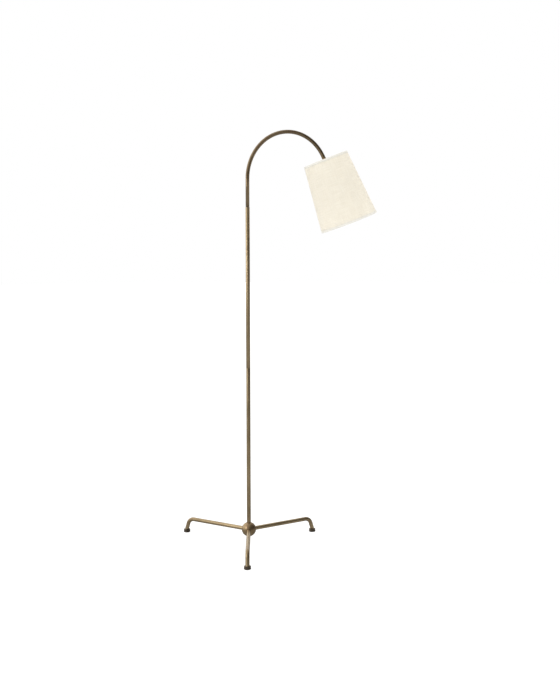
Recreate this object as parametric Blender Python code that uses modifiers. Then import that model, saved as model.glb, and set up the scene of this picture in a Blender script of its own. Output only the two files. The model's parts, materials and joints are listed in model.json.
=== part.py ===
"""Adjustable arm floor lamp: tripod base, two-section pole, swivelling gooseneck arm and tilting shade.

Metres, +Z up. The lamp is laid out about its pole's axis, which stands at the lamp_root empty. That empty
is placed so that the world origin is the middle of the lamp's outline on the floor.
The arm reaches toward +X. The arm turns about the pole, the head tilts about Y, and the knob turns about Y.
"""

import math

import bmesh
import bpy
from mathutils import Matrix

# Fits
GAP = 0.0003  # clearance between pieces that touch
ROUND_SIDES = 20  # sides of a tube or a rod
WIDE_SIDES = 24  # sides of the feet, the socket and the bulb

# Ball hub and legs
HUB_RADIUS = 0.0284
HUB_HEIGHT = 0.0575  # centre of the ball above the floor
LEG_RADIUS = 0.00795
LEG_REACH = 0.2813  # pole axis to the corner where a leg turns down
LEG_BEND = 0.028  # centreline radius of that corner
LEG_BEND_STEPS = 9
LEG_LEAN = math.radians(17.5)  # how far the turned-down end leans outward
LEG_AZIMUTHS = {"front": -90.0, "right": 30.0, "left": 150.0}
SOCKET_FLOOR = 0.0133  # pole axis to the bottom of a leg's socket in the ball
GRUB_RADIUS = 0.0020
GRUB_SUNK = 0.0036  # how far a grub screw's end lies inside the ball's surface
GRUB_KEY = 0.0011  # corner radius of the hexagon socket
GRUB_KEY_DEPTH = 0.0024
GRUB_SIDES = 14
INLET_BORE = 0.0035  # the bush's own bore, for the cord
INLET_WALL = 0.0010
INLET_FLANGE = 0.0058
INLET_FLANGE_THICKNESS = 0.0017
INLET_EDGE = 0.0006
INLET_DROP = 0.0110  # below the centre of the ball

# Feet
FOOT_WALL = 0.0050  # round the leg
FOOT_TOP = 0.0133  # height of the cap's top face above the floor
FOOT_ROUND = 0.0016
FOOT_GROOVE = 0.0005  # depth of the turned line round the cap
FOOT_GROOVE_FLAT = 0.0010  # half the width of its floor
FOOT_GROOVE_WIDTH = 0.0016  # half its width at the surface
PAD_RIM = 0.00155  # of the cap, round the pad
PAD_THICKNESS = 0.0020
PAD_PROUD = 0.0011  # how far the pad stands below the cap
FOOT_BORE_FLOOR = 0.0060  # height of the middle of the leg's bore floor

# Pole
POLE_RADIUS = 0.00795
POLE_WALL = 0.0012
POLE_TOP = 1.3126
POLE_SEAM = 0.7000  # where the two sections meet
POLE_SEAT_DEPTH = 0.0095  # how deep the pole sits in the top of the ball
NIPPLE_RADIUS = 0.0050
NIPPLE_BORE = 0.0035
NIPPLE_END = 0.0010  # thread showing below the lock nut
NIPPLE_SETBACK = 0.0040  # its upper end below the top of the insert
CHAMBER_RADIUS = 0.0120  # wiring chamber in the underside of the ball
CHAMBER_HEIGHT = 0.0085  # from the centre of the ball down to its ceiling
WASHER_RADIUS = 0.0098
WASHER_THICKNESS = 0.0015
LOCK_NUT_RADIUS = 0.0088  # over its corners
LOCK_NUT_THICKNESS = 0.0050
CAP_THICKNESS = 0.0016
CAP_SKIRT = 0.0030
INSERT_LENGTH = 0.0200
INSERT_SETBACK = 0.0030  # above the pole's cut end
COUPLER_LENGTH = 0.0600
COUPLER_BORE = 0.0040

# Arm swivel in the pole's top
BUSH_WALL = 0.00135
SPIGOT_BORE = 0.0030
SPIGOT_END = 0.0015  # thread showing below the swivel nut
BUSH_LENGTH = 0.0400
BUSH_FLANGE = 0.0022
BUSH_LAND = 0.0014  # height of the flange's straight edge
SWIVEL_WASHER = 0.0008
SPIGOT_IN_ARM = 0.0300
SPRING_WASHER = 0.0014
SWIVEL_NUT = 0.0050

# Gooseneck arm
ARM_RADIUS = 0.00715
ARM_WALL = 0.0012
ARCH_SPAN = 0.1511  # horizontal half width of the arch's oval
ARCH_RISE = 0.1733  # vertical half height of the arch's oval
ARM_STRAIGHT = 0.1081  # from the pole's top up to where the arch begins
ARM_END_LEAN = math.radians(26.0)  # the arm's straight end, off the vertical
ARM_END_LENGTH = 0.0645  # from the end of the arch to the tilt axis
ARCH_STEPS = 20
LEAD_STEPS = 16  # of the lead's bends in the arch

# Tilt knuckle
DRUM_RADIUS = 0.0110
DRUM_WIDTH = 0.0095  # of one half
DRUM_WALL = 0.0024
DRUM_RIM = 0.0030
BOLT_RADIUS = 0.0020
BOLT_BOSS = 0.0036
NECK_STEP = 0.00075  # by which the neck is slimmer than the arm
NECK_END = 0.0177  # tilt axis to the shoulder of the neck
STUB_LENGTH = 0.0095
LEAD_HOLE = 0.0017
LEAD_HOLE_WALL = 0.0008  # between the lead's hole and the outside of the stub
BOLT_HEAD = 0.0024
BOLT_HEAD_RADIUS = 0.0042
BOLT_SETBACK = 0.0005  # its end inside the thumb nut's face
KNUCKLE_WASHER = 0.0010
THUMB_NUT_RADIUS = 0.0062
THUMB_NUT_THICKNESS = 0.0050
ARM_INSERT_LENGTH = 0.0140
ARM_INSERT_WALL = 0.00075

# Head: heights are below the tilt axis, along the shade's own axis
HEAD_LEAN = math.radians(21.06)
SOCKET_WALL = 0.0010
CAP_LENGTH = 0.0280
CAP_NECK_RADIUS = 0.0080
CAP_NECK_LENGTH = 0.0030
SHELL_LENGTH = 0.0420
INSULATOR_WALL = 0.0022
INSULATOR_FLOOR = 0.0120
INSULATOR_SETBACK = 0.0015  # inside the shell's open end
LAMP_THREAD_RADIUS = 0.0131  # of the lamp's base, 26 mm thread
SCREW_SHELL_WALL = 0.0006
SCREW_SHELL_LENGTH = 0.0230
SCREW_SHELL_SPACE = 0.0010  # between it and the insulator
CONTACT_RADIUS = 0.0040
CONTACT_THICKNESS = 0.0010
SWITCH_SPACE = 0.0035  # between the switch and the cap's wall
SWITCH_HEIGHT = 0.0120
SWITCH_SETBACK = 0.0010  # inside the cap's open end
KNOB_SHAFT = 0.0018
KNOB_RADIUS = 0.0062
KNOB_LENGTH = 0.0120
KNOB_ROUND = 0.0012
KNOB_STANDOFF = 0.0030
RING_NUT_WIDTH = 0.0040
RING_NUT_THICKNESS = 0.0060

# Bulb
GLASS_RADIUS = 0.0300
GLASS_LENGTH = 0.0790  # from the lip of the lamp's base to the end of the glass
GLASS_WALL = 0.0010
GLASS_IN_BASE = 0.0050
LAMP_BASE_LENGTH = 0.0230
LAMP_BASE_WALL = 0.0008
LAMP_TIP_RADIUS = 0.0045
LAMP_TIP_LENGTH = 0.0030
LAMP_TIP_SLOPE = 0.0020  # chamfer between the tip's cone and the thread
GLASS_NECK_LENGTH = 0.0060
GLASS_NECK_SPREAD = 0.0010
GLASS_SHOULDER = 40.0  # degrees above the globe's middle where the neck's cone begins

# Shade
SHADE_TOP_RADIUS = 0.0854
SHADE_BOTTOM_RADIUS = 0.1105
SHADE_LENGTH = 0.2547  # along its axis
SHADE_TOP_RISE = 0.0500  # tilt axis up to the shade's top edge
SHADE_THICKNESS = 0.0012
SHADE_SIDES = 48
WIRE_SIDES = 6
TRIM_THICKNESS = 0.0005
TRIM_HEIGHT = 0.0080
RIM_WIRE = 0.0015
SPOKE_RADIUS = 0.0013
RIM_WIRE_SETBACK = 0.0040  # a rim wire's centre inside the shade's edge
FITTER_DROP = 0.0120  # top of the shell down to the fitter's centre ring
FITTER_RING_WIDTH = 0.0055
FITTER_RING_THICKNESS = 0.0018

# Inner leads
LEAD_RADIUS = 0.0014
LEAD_SIDES = 8
LEAD_SLACK = 0.0030  # space left where a lead passes from one piece into the next

# Worked out from the values above
FOOT_RADIUS = LEG_RADIUS + GAP + FOOT_WALL
PAD_RADIUS = FOOT_RADIUS - PAD_RIM
CORNER_TRIM = LEG_BEND * math.tan((math.pi / 2 - LEG_LEAN) / 2)
LEG_FALL = HUB_HEIGHT - FOOT_BORE_FLOOR - GAP
LEG_END_REACH = LEG_REACH + LEG_FALL * math.tan(LEG_LEAN)
FOOT_REACH = LEG_REACH + (HUB_HEIGHT - FOOT_TOP) * math.tan(LEG_LEAN)
POLE_BORE = POLE_RADIUS - POLE_WALL
POLE_FOOT = HUB_HEIGHT + HUB_RADIUS - POLE_SEAT_DEPTH
CHAMBER_CEILING = HUB_HEIGHT - CHAMBER_HEIGHT
WASHER_TOP = CHAMBER_CEILING - GAP
LOCK_NUT_TOP = WASHER_TOP - WASHER_THICKNESS - GAP
NIPPLE_FOOT = LOCK_NUT_TOP - LOCK_NUT_THICKNESS - NIPPLE_END
INSERT_FOOT = POLE_FOOT + INSERT_SETBACK
NIPPLE_TOP = INSERT_FOOT + INSERT_LENGTH - NIPPLE_SETBACK
SPIGOT_RADIUS = POLE_BORE - GAP - BUSH_WALL - GAP
BUSH_TOP = POLE_TOP + GAP + BUSH_FLANGE
WASHER_FOOT = BUSH_TOP + GAP
ARM_FOOT = WASHER_FOOT + SWIVEL_WASHER + GAP
BUSH_FOOT = POLE_TOP - BUSH_LENGTH
SPRING_TOP = BUSH_FOOT - GAP
SWIVEL_NUT_TOP = SPRING_TOP - SPRING_WASHER - GAP
SPIGOT_FOOT = SWIVEL_NUT_TOP - SWIVEL_NUT - SPIGOT_END
ARM_BORE = ARM_RADIUS - ARM_WALL
ARCH_CENTRE = POLE_TOP + ARM_STRAIGHT
NECK_RADIUS = ARM_RADIUS - NECK_STEP
STUB_RADIUS = ARM_BORE - GAP - ARM_INSERT_WALL - GAP
LEAD_OFFSET = STUB_RADIUS - LEAD_HOLE_WALL - LEAD_HOLE  # of the lead's hole from the knuckle's middle
DRUM_POCKET = DRUM_RADIUS - DRUM_RIM
ARCH_TURN = math.pi - math.atan(math.tan(ARM_END_LEAN) * ARCH_RISE / ARCH_SPAN)
ARCH_END_X = ARCH_SPAN * (1 - math.cos(ARCH_TURN))
ARCH_END_Z = ARCH_CENTRE + ARCH_RISE * math.sin(ARCH_TURN)
TILT_X = ARCH_END_X + ARM_END_LENGTH * math.sin(ARM_END_LEAN)
TILT_Z = ARCH_END_Z - ARM_END_LENGTH * math.cos(ARM_END_LEAN)
ARM_TIP = NECK_END + GAP  # from the tilt axis back to the tube's cut end
CAP_TOP = NECK_END + GAP
CAP_FOOT = CAP_TOP + CAP_LENGTH
SHELL_TOP = CAP_FOOT + GAP
SHELL_FOOT = SHELL_TOP + SHELL_LENGTH
SCREW_SHELL_BORE = LAMP_THREAD_RADIUS + GAP
INSULATOR_BORE = SCREW_SHELL_BORE + SCREW_SHELL_WALL + SCREW_SHELL_SPACE
INSULATOR_RADIUS = INSULATOR_BORE + INSULATOR_WALL
SOCKET_RADIUS = INSULATOR_RADIUS + GAP + SOCKET_WALL
SWITCH_RADIUS = SOCKET_RADIUS - SOCKET_WALL - SWITCH_SPACE
INSULATOR_FOOT = SHELL_FOOT - INSULATOR_SETBACK
INSULATOR_SEAT = SHELL_TOP + INSULATOR_FLOOR
SCREW_SHELL_TOP = INSULATOR_SEAT + GAP
CONTACT_FOOT = SCREW_SHELL_TOP + CONTACT_THICKNESS
LAMP_BASE_TOP = CONTACT_FOOT + GAP
LAMP_BASE_FOOT = LAMP_BASE_TOP + LAMP_BASE_LENGTH
SWITCH_FOOT = CAP_FOOT - SWITCH_SETBACK
KNOB_DROP = SWITCH_FOOT - SWITCH_HEIGHT / 2
FITTER_TOP = SHELL_TOP + FITTER_DROP
RING_NUT_TOP = FITTER_TOP + FITTER_RING_THICKNESS + GAP
SHADE_FOOT = SHADE_LENGTH - SHADE_TOP_RISE
SHADE_SLOPE = (SHADE_BOTTOM_RADIUS - SHADE_TOP_RADIUS) / SHADE_LENGTH
TRIM_OUTSIDE = GAP + TRIM_THICKNESS
RIM_REACH = SHADE_BOTTOM_RADIUS + TRIM_OUTSIDE
FOOT_CENTRE_X = FOOT_REACH * math.cos(math.radians(LEG_AZIMUTHS["right"]))
FOOT_CENTRE_Y = FOOT_REACH * math.sin(math.radians(LEG_AZIMUTHS["right"]))
SHADE_EDGE_X = TILT_X + SHADE_FOOT * math.sin(HEAD_LEAN) + RIM_REACH * math.cos(HEAD_LEAN)
OUTLINE_LEFT = -FOOT_CENTRE_X - FOOT_RADIUS
OUTLINE_RIGHT = max(SHADE_EDGE_X, FOOT_CENTRE_X + FOOT_RADIUS)
OUTLINE_FRONT = -FOOT_REACH - FOOT_RADIUS
OUTLINE_BACK = max(FOOT_CENTRE_Y + FOOT_RADIUS, RIM_REACH)

for old in list(bpy.data.objects):
    bpy.data.objects.remove(old)

lamp = bpy.data.collections.new("adjustable_arm_floor_lamp")
cutters = bpy.data.collections.new("cutters")
bpy.context.scene.collection.children.link(lamp)
bpy.context.scene.collection.children.link(cutters)


# Materials

def finish(name, colour, metallic, roughness):
    material = bpy.data.materials.new(name)
    material.use_nodes = True
    shader = material.node_tree.nodes["Principled BSDF"]
    shader.inputs["Base Color"].default_value = (*colour, 1.0)
    shader.inputs["Metallic"].default_value = metallic
    shader.inputs["Roughness"].default_value = roughness
    return material


# Each look is a colour, a metallic value and a roughness.
AGED = ((0.30, 0.23, 0.13), 1.0, 0.42)
BRASS = ((0.62, 0.47, 0.22), 1.0, 0.35)
STEEL = ((0.55, 0.56, 0.57), 1.0, 0.4)
PLASTIC = ((0.045, 0.035, 0.028), 0.0, 0.38)
RUBBER = ((0.03, 0.028, 0.025), 0.0, 0.6)
FELT = ((0.05, 0.045, 0.04), 0.0, 0.95)
LEAD_COVER = ((0.55, 0.42, 0.15), 0.0, 0.5)
NYLON = ((0.75, 0.72, 0.65), 0.0, 0.5)
PORCELAIN = ((0.85, 0.84, 0.80), 0.0, 0.3)
GLASS = ((0.9, 0.88, 0.82), 0.0, 0.15)
LINEN = ((0.86, 0.83, 0.74), 0.0, 0.9)
TAPE = ((0.84, 0.81, 0.72), 0.0, 0.9)
ACROSS = (-math.pi / 2, 0, 0)  # the rotation that turns +Z to +Y
FORWARD = (math.pi / 2, 0, 0)  # and the one that turns it to -Y


# Building blocks

def empty(name, parent=None, location=(0, 0, 0), rotation=(0, 0, 0)):
    made = bpy.data.objects.new(name, None)
    made.parent = parent
    made.location = location
    made.rotation_euler = rotation
    lamp.objects.link(made)
    return made


def place(name, data, parent, look, location=(0, 0, 0), rotation=(0, 0, 0)):
    """An object for one piece, or a cutter when look is None."""
    made = bpy.data.objects.new(name, data)
    made.parent = parent
    made.location = location
    made.rotation_euler = rotation
    if look is None:
        made.hide_render = True
        made.display_type = "WIRE"
        cutters.objects.link(made)
        return made
    data.materials.append(finish(name, *look))
    lamp.objects.link(made)
    return made


def turned(name, profile, parent, look, closed=True, sides=ROUND_SIDES,
           location=(0, 0, 0), rotation=(0, 0, 0)):
    """A profile of (radius, height) points, run down its outer side, turned about Z."""
    mesh = bpy.data.meshes.new(name)
    count = len(profile)
    edges = [(i, i + 1) for i in range(count - 1)]
    if closed:
        edges.append((count - 1, 0))
    mesh.from_pydata([(radius, 0, height) for radius, height in profile], edges, [])
    made = place(name, mesh, parent, look, location, rotation)
    screw = made.modifiers.new("Turn", "SCREW")
    screw.axis = "Z"
    screw.steps = sides
    screw.render_steps = sides
    screw.use_merge_vertices = True
    screw.merge_threshold = 0.00005
    screw.use_smooth_shade = True
    return made


def tube(name, outer, bore, foot, top, parent, look, **more):
    return turned(name, [(outer, top), (outer, foot), (bore, foot), (bore, top)], parent, look, **more)


def rod(name, radius, foot, top, parent, look, **more):
    profile = [(0, top), (radius, top), (radius, foot), (0, foot)]
    return turned(name, profile, parent, look, closed=False, **more)


def prism(name, corner_radius, corners, foot, top, parent, look, location=(0, 0, 0), rotation=(0, 0, 0)):
    mesh = bpy.data.meshes.new(name)
    shape = bmesh.new()
    middle = Matrix.Translation((0, 0, (top + foot) / 2))
    bmesh.ops.create_cone(shape, cap_ends=True, segments=corners, radius1=corner_radius,
                          radius2=corner_radius, depth=top - foot, matrix=middle)
    shape.to_mesh(mesh)
    shape.free()
    return place(name, mesh, parent, look, location, rotation)


def boolean(target, other, operation="DIFFERENCE"):
    step = target.modifiers.new(operation.title() + " " + other.name, "BOOLEAN")
    step.operation = operation
    step.object = other
    step.solver = "EXACT"
    return target


def arc(centre_r, centre_z, radius, start, end, steps):
    """Points on a profile's round stretch, from one angle to another, in degrees."""
    angles = [math.radians(start + (end - start) * i / steps) for i in range(steps + 1)]
    return [(centre_r + radius * math.cos(a), centre_z + radius * math.sin(a)) for a in angles]


def rod_curve(name, points, radius, parent, look, sides, capped=True):
    curve = bpy.data.curves.new(name, "CURVE")
    curve.dimensions = "3D"
    curve.bevel_depth = radius
    curve.bevel_resolution = (sides - 4) // 2
    curve.use_fill_caps = capped
    spline = curve.splines.new("POLY")
    spline.points.add(len(points) - 1)
    for point, place_at in zip(spline.points, points):
        point.co = (*place_at, 1)
    return place(name, curve, parent, look)


def nut(name, corner_radius, thickness, bore, top, parent, look,
        location=(0, 0, 0), rotation=(0, 0, 0), corners=6):
    made = prism(name, corner_radius, corners, top - thickness, top, parent, look, location, rotation)
    hole = rod(name + "_hole", bore, top - 2 * thickness, top + thickness, parent, None,
               location=location, rotation=rotation)
    return boolean(made, hole)


outline_middle = ((OUTLINE_LEFT + OUTLINE_RIGHT) / 2, (OUTLINE_FRONT + OUTLINE_BACK) / 2)
root = empty("lamp_root", location=(-outline_middle[0], -outline_middle[1], 0))


# Base: a cast ball with a socket for each leg, a seat for the pole and a wiring chamber underneath

CUT_OVERRUN = 0.010  # by which a cutter passes the surface


def hub():
    mesh = bpy.data.meshes.new("hub_ball")
    shape = bmesh.new()
    bmesh.ops.create_uvsphere(shape, u_segments=32, v_segments=16, radius=HUB_RADIUS)
    # A small turn keeps the ball's edges from falling on those of the bores.
    bmesh.ops.rotate(shape, verts=shape.verts, matrix=Matrix.Rotation(math.radians(1.6), 3, "Z"))
    bmesh.ops.translate(shape, verts=shape.verts, vec=(0, 0, HUB_HEIGHT))
    shape.to_mesh(mesh)
    shape.free()
    mesh.shade_smooth()
    ball = place("hub_ball", mesh, root, AGED)
    over = HUB_HEIGHT + HUB_RADIUS + CUT_OVERRUN
    under = HUB_HEIGHT - HUB_RADIUS - CUT_OVERRUN
    bores = (
        ("nipple_way", NIPPLE_RADIUS + GAP, under, over),
        ("pole_seat", POLE_RADIUS + GAP, POLE_FOOT - GAP, over),
        ("wiring_chamber", CHAMBER_RADIUS, under, CHAMBER_CEILING),
    )
    for name, radius, foot, top in bores:
        boolean(ball, rod(name, radius, foot, top, root, None))
    return ball


def cord_inlet(ball):
    """A bush for the cord, in the back of the ball, opening into the wiring chamber."""
    level = HUB_HEIGHT - INLET_DROP
    flat = math.sqrt(HUB_RADIUS**2 - (INLET_DROP + INLET_FLANGE + GAP) ** 2)
    barrel = INLET_BORE + INLET_WALL
    way = rod("inlet_way", barrel + GAP, CHAMBER_RADIUS / 2, HUB_RADIUS, root, None,
              location=(0, 0, level), rotation=ACROSS)
    spot = rod("inlet_spot_face", INLET_FLANGE + GAP, flat, 2 * HUB_RADIUS, root, None,
               location=(0, 0, level), rotation=ACROSS)
    boolean(ball, way)
    boolean(ball, spot)
    start = CHAMBER_RADIUS + GAP
    face = flat + GAP
    outside = face + INLET_FLANGE_THICKNESS
    profile = [(INLET_BORE, outside), (INLET_FLANGE - INLET_EDGE, outside),
               (INLET_FLANGE, outside - INLET_EDGE), (INLET_FLANGE, face), (barrel, face), (barrel, start),
               (INLET_BORE, start)]
    turned("cord_inlet_bush", profile, root, RUBBER, location=(0, 0, level), rotation=ACROSS)


def bottom_cap():
    """Closes the wiring chamber and completes the ball's round underside."""
    edge = CHAMBER_RADIUS - GAP
    lip = HUB_HEIGHT - math.sqrt(HUB_RADIUS**2 - edge**2)
    inside = lip + CAP_THICKNESS
    steps = 6
    radii = [edge * (steps - i) / steps for i in range(steps + 1)]
    under = [(radius, HUB_HEIGHT - math.sqrt(HUB_RADIUS**2 - radius**2)) for radius in radii]
    profile = [(0, inside), (edge - CAP_THICKNESS, inside), (edge - CAP_THICKNESS, inside + CAP_SKIRT),
               (edge, inside + CAP_SKIRT), *under]
    turned("hub_bottom_cap", profile, root, AGED, closed=False)


def leg(side, azimuth, ball):
    turn = empty(f"{side}_leg_axis", root, rotation=(0, 0, math.radians(azimuth)))
    socket = rod(f"{side}_leg_socket", LEG_RADIUS + GAP, SOCKET_FLOOR, 2 * HUB_RADIUS, turn, None,
                 location=(0, 0, HUB_HEIGHT), rotation=(0, math.pi / 2, 0))
    boolean(ball, socket)
    bend_x = LEG_REACH - CORNER_TRIM
    bend_z = HUB_HEIGHT - LEG_BEND
    points = [(SOCKET_FLOOR + GAP, 0, HUB_HEIGHT)]
    for i in range(LEG_BEND_STEPS + 1):
        angle = (math.pi / 2 - LEG_LEAN) * i / LEG_BEND_STEPS
        points.append((bend_x + LEG_BEND * math.sin(angle), 0, bend_z + LEG_BEND * math.cos(angle)))
    points.append((LEG_END_REACH, 0, FOOT_BORE_FLOOR + GAP))
    rod_curve(f"{side}_leg", points, LEG_RADIUS, turn, AGED, ROUND_SIDES)

    grub_reach = (SOCKET_FLOOR + math.sqrt(HUB_RADIUS**2 - LEG_RADIUS**2)) / 2
    grub_top = HUB_HEIGHT - LEG_RADIUS - GAP
    grub_foot = HUB_HEIGHT - math.sqrt(HUB_RADIUS**2 - grub_reach**2) + GRUB_SUNK
    grub_hole = rod(f"{side}_grub_hole", GRUB_RADIUS + GAP, HUB_HEIGHT - 2 * HUB_RADIUS, HUB_HEIGHT,
                    turn, None, location=(grub_reach, 0, 0), sides=GRUB_SIDES)
    boolean(ball, grub_hole)
    grub = rod(f"{side}_leg_grub_screw", GRUB_RADIUS, grub_foot, grub_top, turn, STEEL,
               location=(grub_reach, 0, 0), sides=GRUB_SIDES)
    key = prism(f"{side}_grub_key", GRUB_KEY, 6, grub_foot - GRUB_KEY_DEPTH, grub_foot + GRUB_KEY_DEPTH, turn,
                None, location=(grub_reach, 0, 0))
    boolean(grub, key)
    foot(side, turn)


def foot(side, turn):
    """A level round cap bored on the slant for the leg, with a felt pad let into its underside."""
    low = PAD_PROUD
    r = FOOT_ROUND
    pad_ceiling = PAD_THICKNESS + GAP
    middle = (low + FOOT_TOP) / 2
    line = FOOT_RADIUS - FOOT_GROOVE  # a shallow turned line between the cap's two beads
    outer = FOOT_RADIUS
    profile = [(0, FOOT_TOP)]
    profile += arc(outer - r, FOOT_TOP - r, r, 90, 0, 3)
    profile += [(outer, middle + FOOT_GROOVE_WIDTH), (line, middle + FOOT_GROOVE_FLAT),
                (line, middle - FOOT_GROOVE_FLAT), (outer, middle - FOOT_GROOVE_WIDTH)]
    profile += arc(outer - r, low + r, r, 0, -90, 3)
    profile += [(PAD_RADIUS + GAP, low), (PAD_RADIUS + GAP, pad_ceiling), (0, pad_ceiling)]
    cap = turned(f"{side}_foot_cap", profile, turn, AGED, closed=False, sides=WIDE_SIDES,
                 location=(FOOT_REACH, 0, 0))
    slant = (0, -LEG_LEAN, 0)
    bore_reach = LEG_REACH + (HUB_HEIGHT - FOOT_BORE_FLOOR) * math.tan(LEG_LEAN)
    bore = rod(f"{side}_foot_bore", LEG_RADIUS + GAP, 0, 2 * LEG_BEND, turn, None,
               location=(bore_reach, 0, FOOT_BORE_FLOOR), rotation=slant)
    boolean(cap, bore)
    rod(f"{side}_foot_pad", PAD_RADIUS, 0, PAD_THICKNESS, turn, FELT,
        location=(FOOT_REACH, 0, 0), sides=WIDE_SIDES)


ball = hub()
for side, azimuth in LEG_AZIMUTHS.items():
    leg(side, azimuth, ball)
cord_inlet(ball)
bottom_cap()


# Pole: two tubes on a threaded nipple, with an insert, a coupler and the nut that draws it down on the ball

def pole():
    thread = NIPPLE_RADIUS + GAP
    sleeve = POLE_BORE - GAP
    tube("pole_nipple", NIPPLE_RADIUS, NIPPLE_BORE, NIPPLE_FOOT, NIPPLE_TOP, root, STEEL)
    tube("hub_washer", WASHER_RADIUS, thread, WASHER_TOP - WASHER_THICKNESS, WASHER_TOP, root, STEEL)
    nut("hub_lock_nut", LOCK_NUT_RADIUS, LOCK_NUT_THICKNESS, thread, LOCK_NUT_TOP, root, STEEL)
    tube("pole_foot_insert", sleeve, thread, INSERT_FOOT, INSERT_FOOT + INSERT_LENGTH, root, BRASS)
    tube("lower_pole", POLE_RADIUS, POLE_BORE, POLE_FOOT, POLE_SEAM - GAP / 2, root, AGED)
    tube("pole_coupler", sleeve, COUPLER_BORE, POLE_SEAM - COUPLER_LENGTH / 2, POLE_SEAM + COUPLER_LENGTH / 2,
         root, BRASS)
    tube("upper_pole", POLE_RADIUS, POLE_BORE, POLE_SEAM + GAP / 2, POLE_TOP, root, AGED)
    rod_curve("pole_lead", [(0, 0, NIPPLE_FOOT + LEAD_SLACK), (0, 0, SPIGOT_FOOT - LEAD_SLACK)], LEAD_RADIUS,
              root, LEAD_COVER, LEAD_SIDES)


def swivel_seat():
    """The bush in the pole's top, whose flange carries the arm."""
    bore = SPIGOT_RADIUS + GAP
    sleeve = POLE_BORE - GAP
    face = POLE_TOP + GAP
    profile = [(bore, BUSH_TOP), (ARM_RADIUS, BUSH_TOP), (POLE_RADIUS, face + BUSH_LAND), (POLE_RADIUS, face),
               (sleeve, face), (sleeve, BUSH_FOOT), (bore, BUSH_FOOT)]
    turned("swivel_bush", profile, root, AGED)


pole()
swivel_seat()


# Arm: everything that turns with the gooseneck about the pole

arm = empty("arm_swivel", root, location=(0, 0, ARM_FOOT))
arm_from_floor = empty("arm_layout", arm, location=(0, 0, -ARM_FOOT))


def arm_centreline(start, from_tilt_axis, steps=ARCH_STEPS):
    """The arm's path: up the pole's axis, over the oval and down its straight end."""
    points = [(0, 0, start)]
    for i in range(steps + 1):
        angle = ARCH_TURN * i / steps
        points.append((ARCH_SPAN * (1 - math.cos(angle)), 0, ARCH_CENTRE + ARCH_RISE * math.sin(angle)))
    points.append((TILT_X - from_tilt_axis * math.sin(ARM_END_LEAN), 0,
                   TILT_Z + from_tilt_axis * math.cos(ARM_END_LEAN)))
    return points


def arm_tube():
    """The gooseneck: an open tube skin given its wall inward."""
    guide = rod_curve("arm_tube_guide", arm_centreline(ARM_FOOT, ARM_TIP), ARM_RADIUS, arm_from_floor, None,
                      ROUND_SIDES, capped=False)
    bpy.context.view_layer.update()
    graph = bpy.context.evaluated_depsgraph_get()
    mesh = bpy.data.meshes.new_from_object(guide.evaluated_get(graph))
    mesh.name = "arm_tube"
    where = guide.matrix_world.copy()
    bpy.data.objects.remove(guide)
    mesh.materials.clear()
    made = place("arm_tube", mesh, arm_from_floor, AGED)
    made.matrix_world = where
    wall = made.modifiers.new("Wall", "SOLIDIFY")
    wall.thickness = ARM_WALL
    wall.offset = -1
    wall.use_even_offset = True


def arm_root():
    """The spigot in the bush, with the washer, the spring washer and the nut that hold it there."""
    bore = SPIGOT_RADIUS + GAP
    sleeve = ARM_BORE - GAP
    top = ARM_FOOT + SPIGOT_IN_ARM
    # A spigot wider than the arm's bore has its shoulder below the arm's cut end.
    shoulder = ARM_FOOT - GAP if SPIGOT_RADIUS > sleeve else ARM_FOOT
    profile = [(SPIGOT_BORE, top), (sleeve, top), (sleeve, shoulder), (SPIGOT_RADIUS, shoulder),
               (SPIGOT_RADIUS, SPIGOT_FOOT), (SPIGOT_BORE, SPIGOT_FOOT)]
    turned("arm_spigot", profile, arm_from_floor, BRASS)
    tube("swivel_washer", ARM_RADIUS, bore, WASHER_FOOT, WASHER_FOOT + SWIVEL_WASHER, arm_from_floor,
         NYLON)
    rim = POLE_BORE - 2 * GAP
    rise = SPRING_WASHER / 2
    cone = [(bore, SPRING_TOP), (rim, SPRING_TOP - rise), (rim, SPRING_TOP - SPRING_WASHER),
            (bore, SPRING_TOP - rise)]
    turned("swivel_spring_washer", cone, arm_from_floor, STEEL)
    tube("swivel_nut", rim, bore, SWIVEL_NUT_TOP - SWIVEL_NUT, SWIVEL_NUT_TOP, arm_from_floor, STEEL)


def arm_tip():
    """The threaded insert in the arm's end, and the lead that runs the length of the arm."""
    along = empty("arm_end", arm_from_floor, location=(TILT_X, 0, TILT_Z), rotation=(0, -ARM_END_LEAN, 0))
    tube("arm_end_insert", ARM_BORE - GAP, STUB_RADIUS + GAP, ARM_TIP, ARM_TIP + ARM_INSERT_LENGTH,
         along, BRASS)
    past_insert = ARM_TIP + ARM_INSERT_LENGTH + LEAD_SLACK
    rod_curve("arm_lead", arm_centreline(SPIGOT_FOOT + LEAD_SLACK, past_insert, LEAD_STEPS), LEAD_RADIUS,
              arm_from_floor, LEAD_COVER, LEAD_SIDES)
    return along


arm_tube()
arm_root()
arm_end = arm_tip()


# Tilt knuckle: two hollow half drums on one bolt. The lower half is the upper one turned over.

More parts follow.
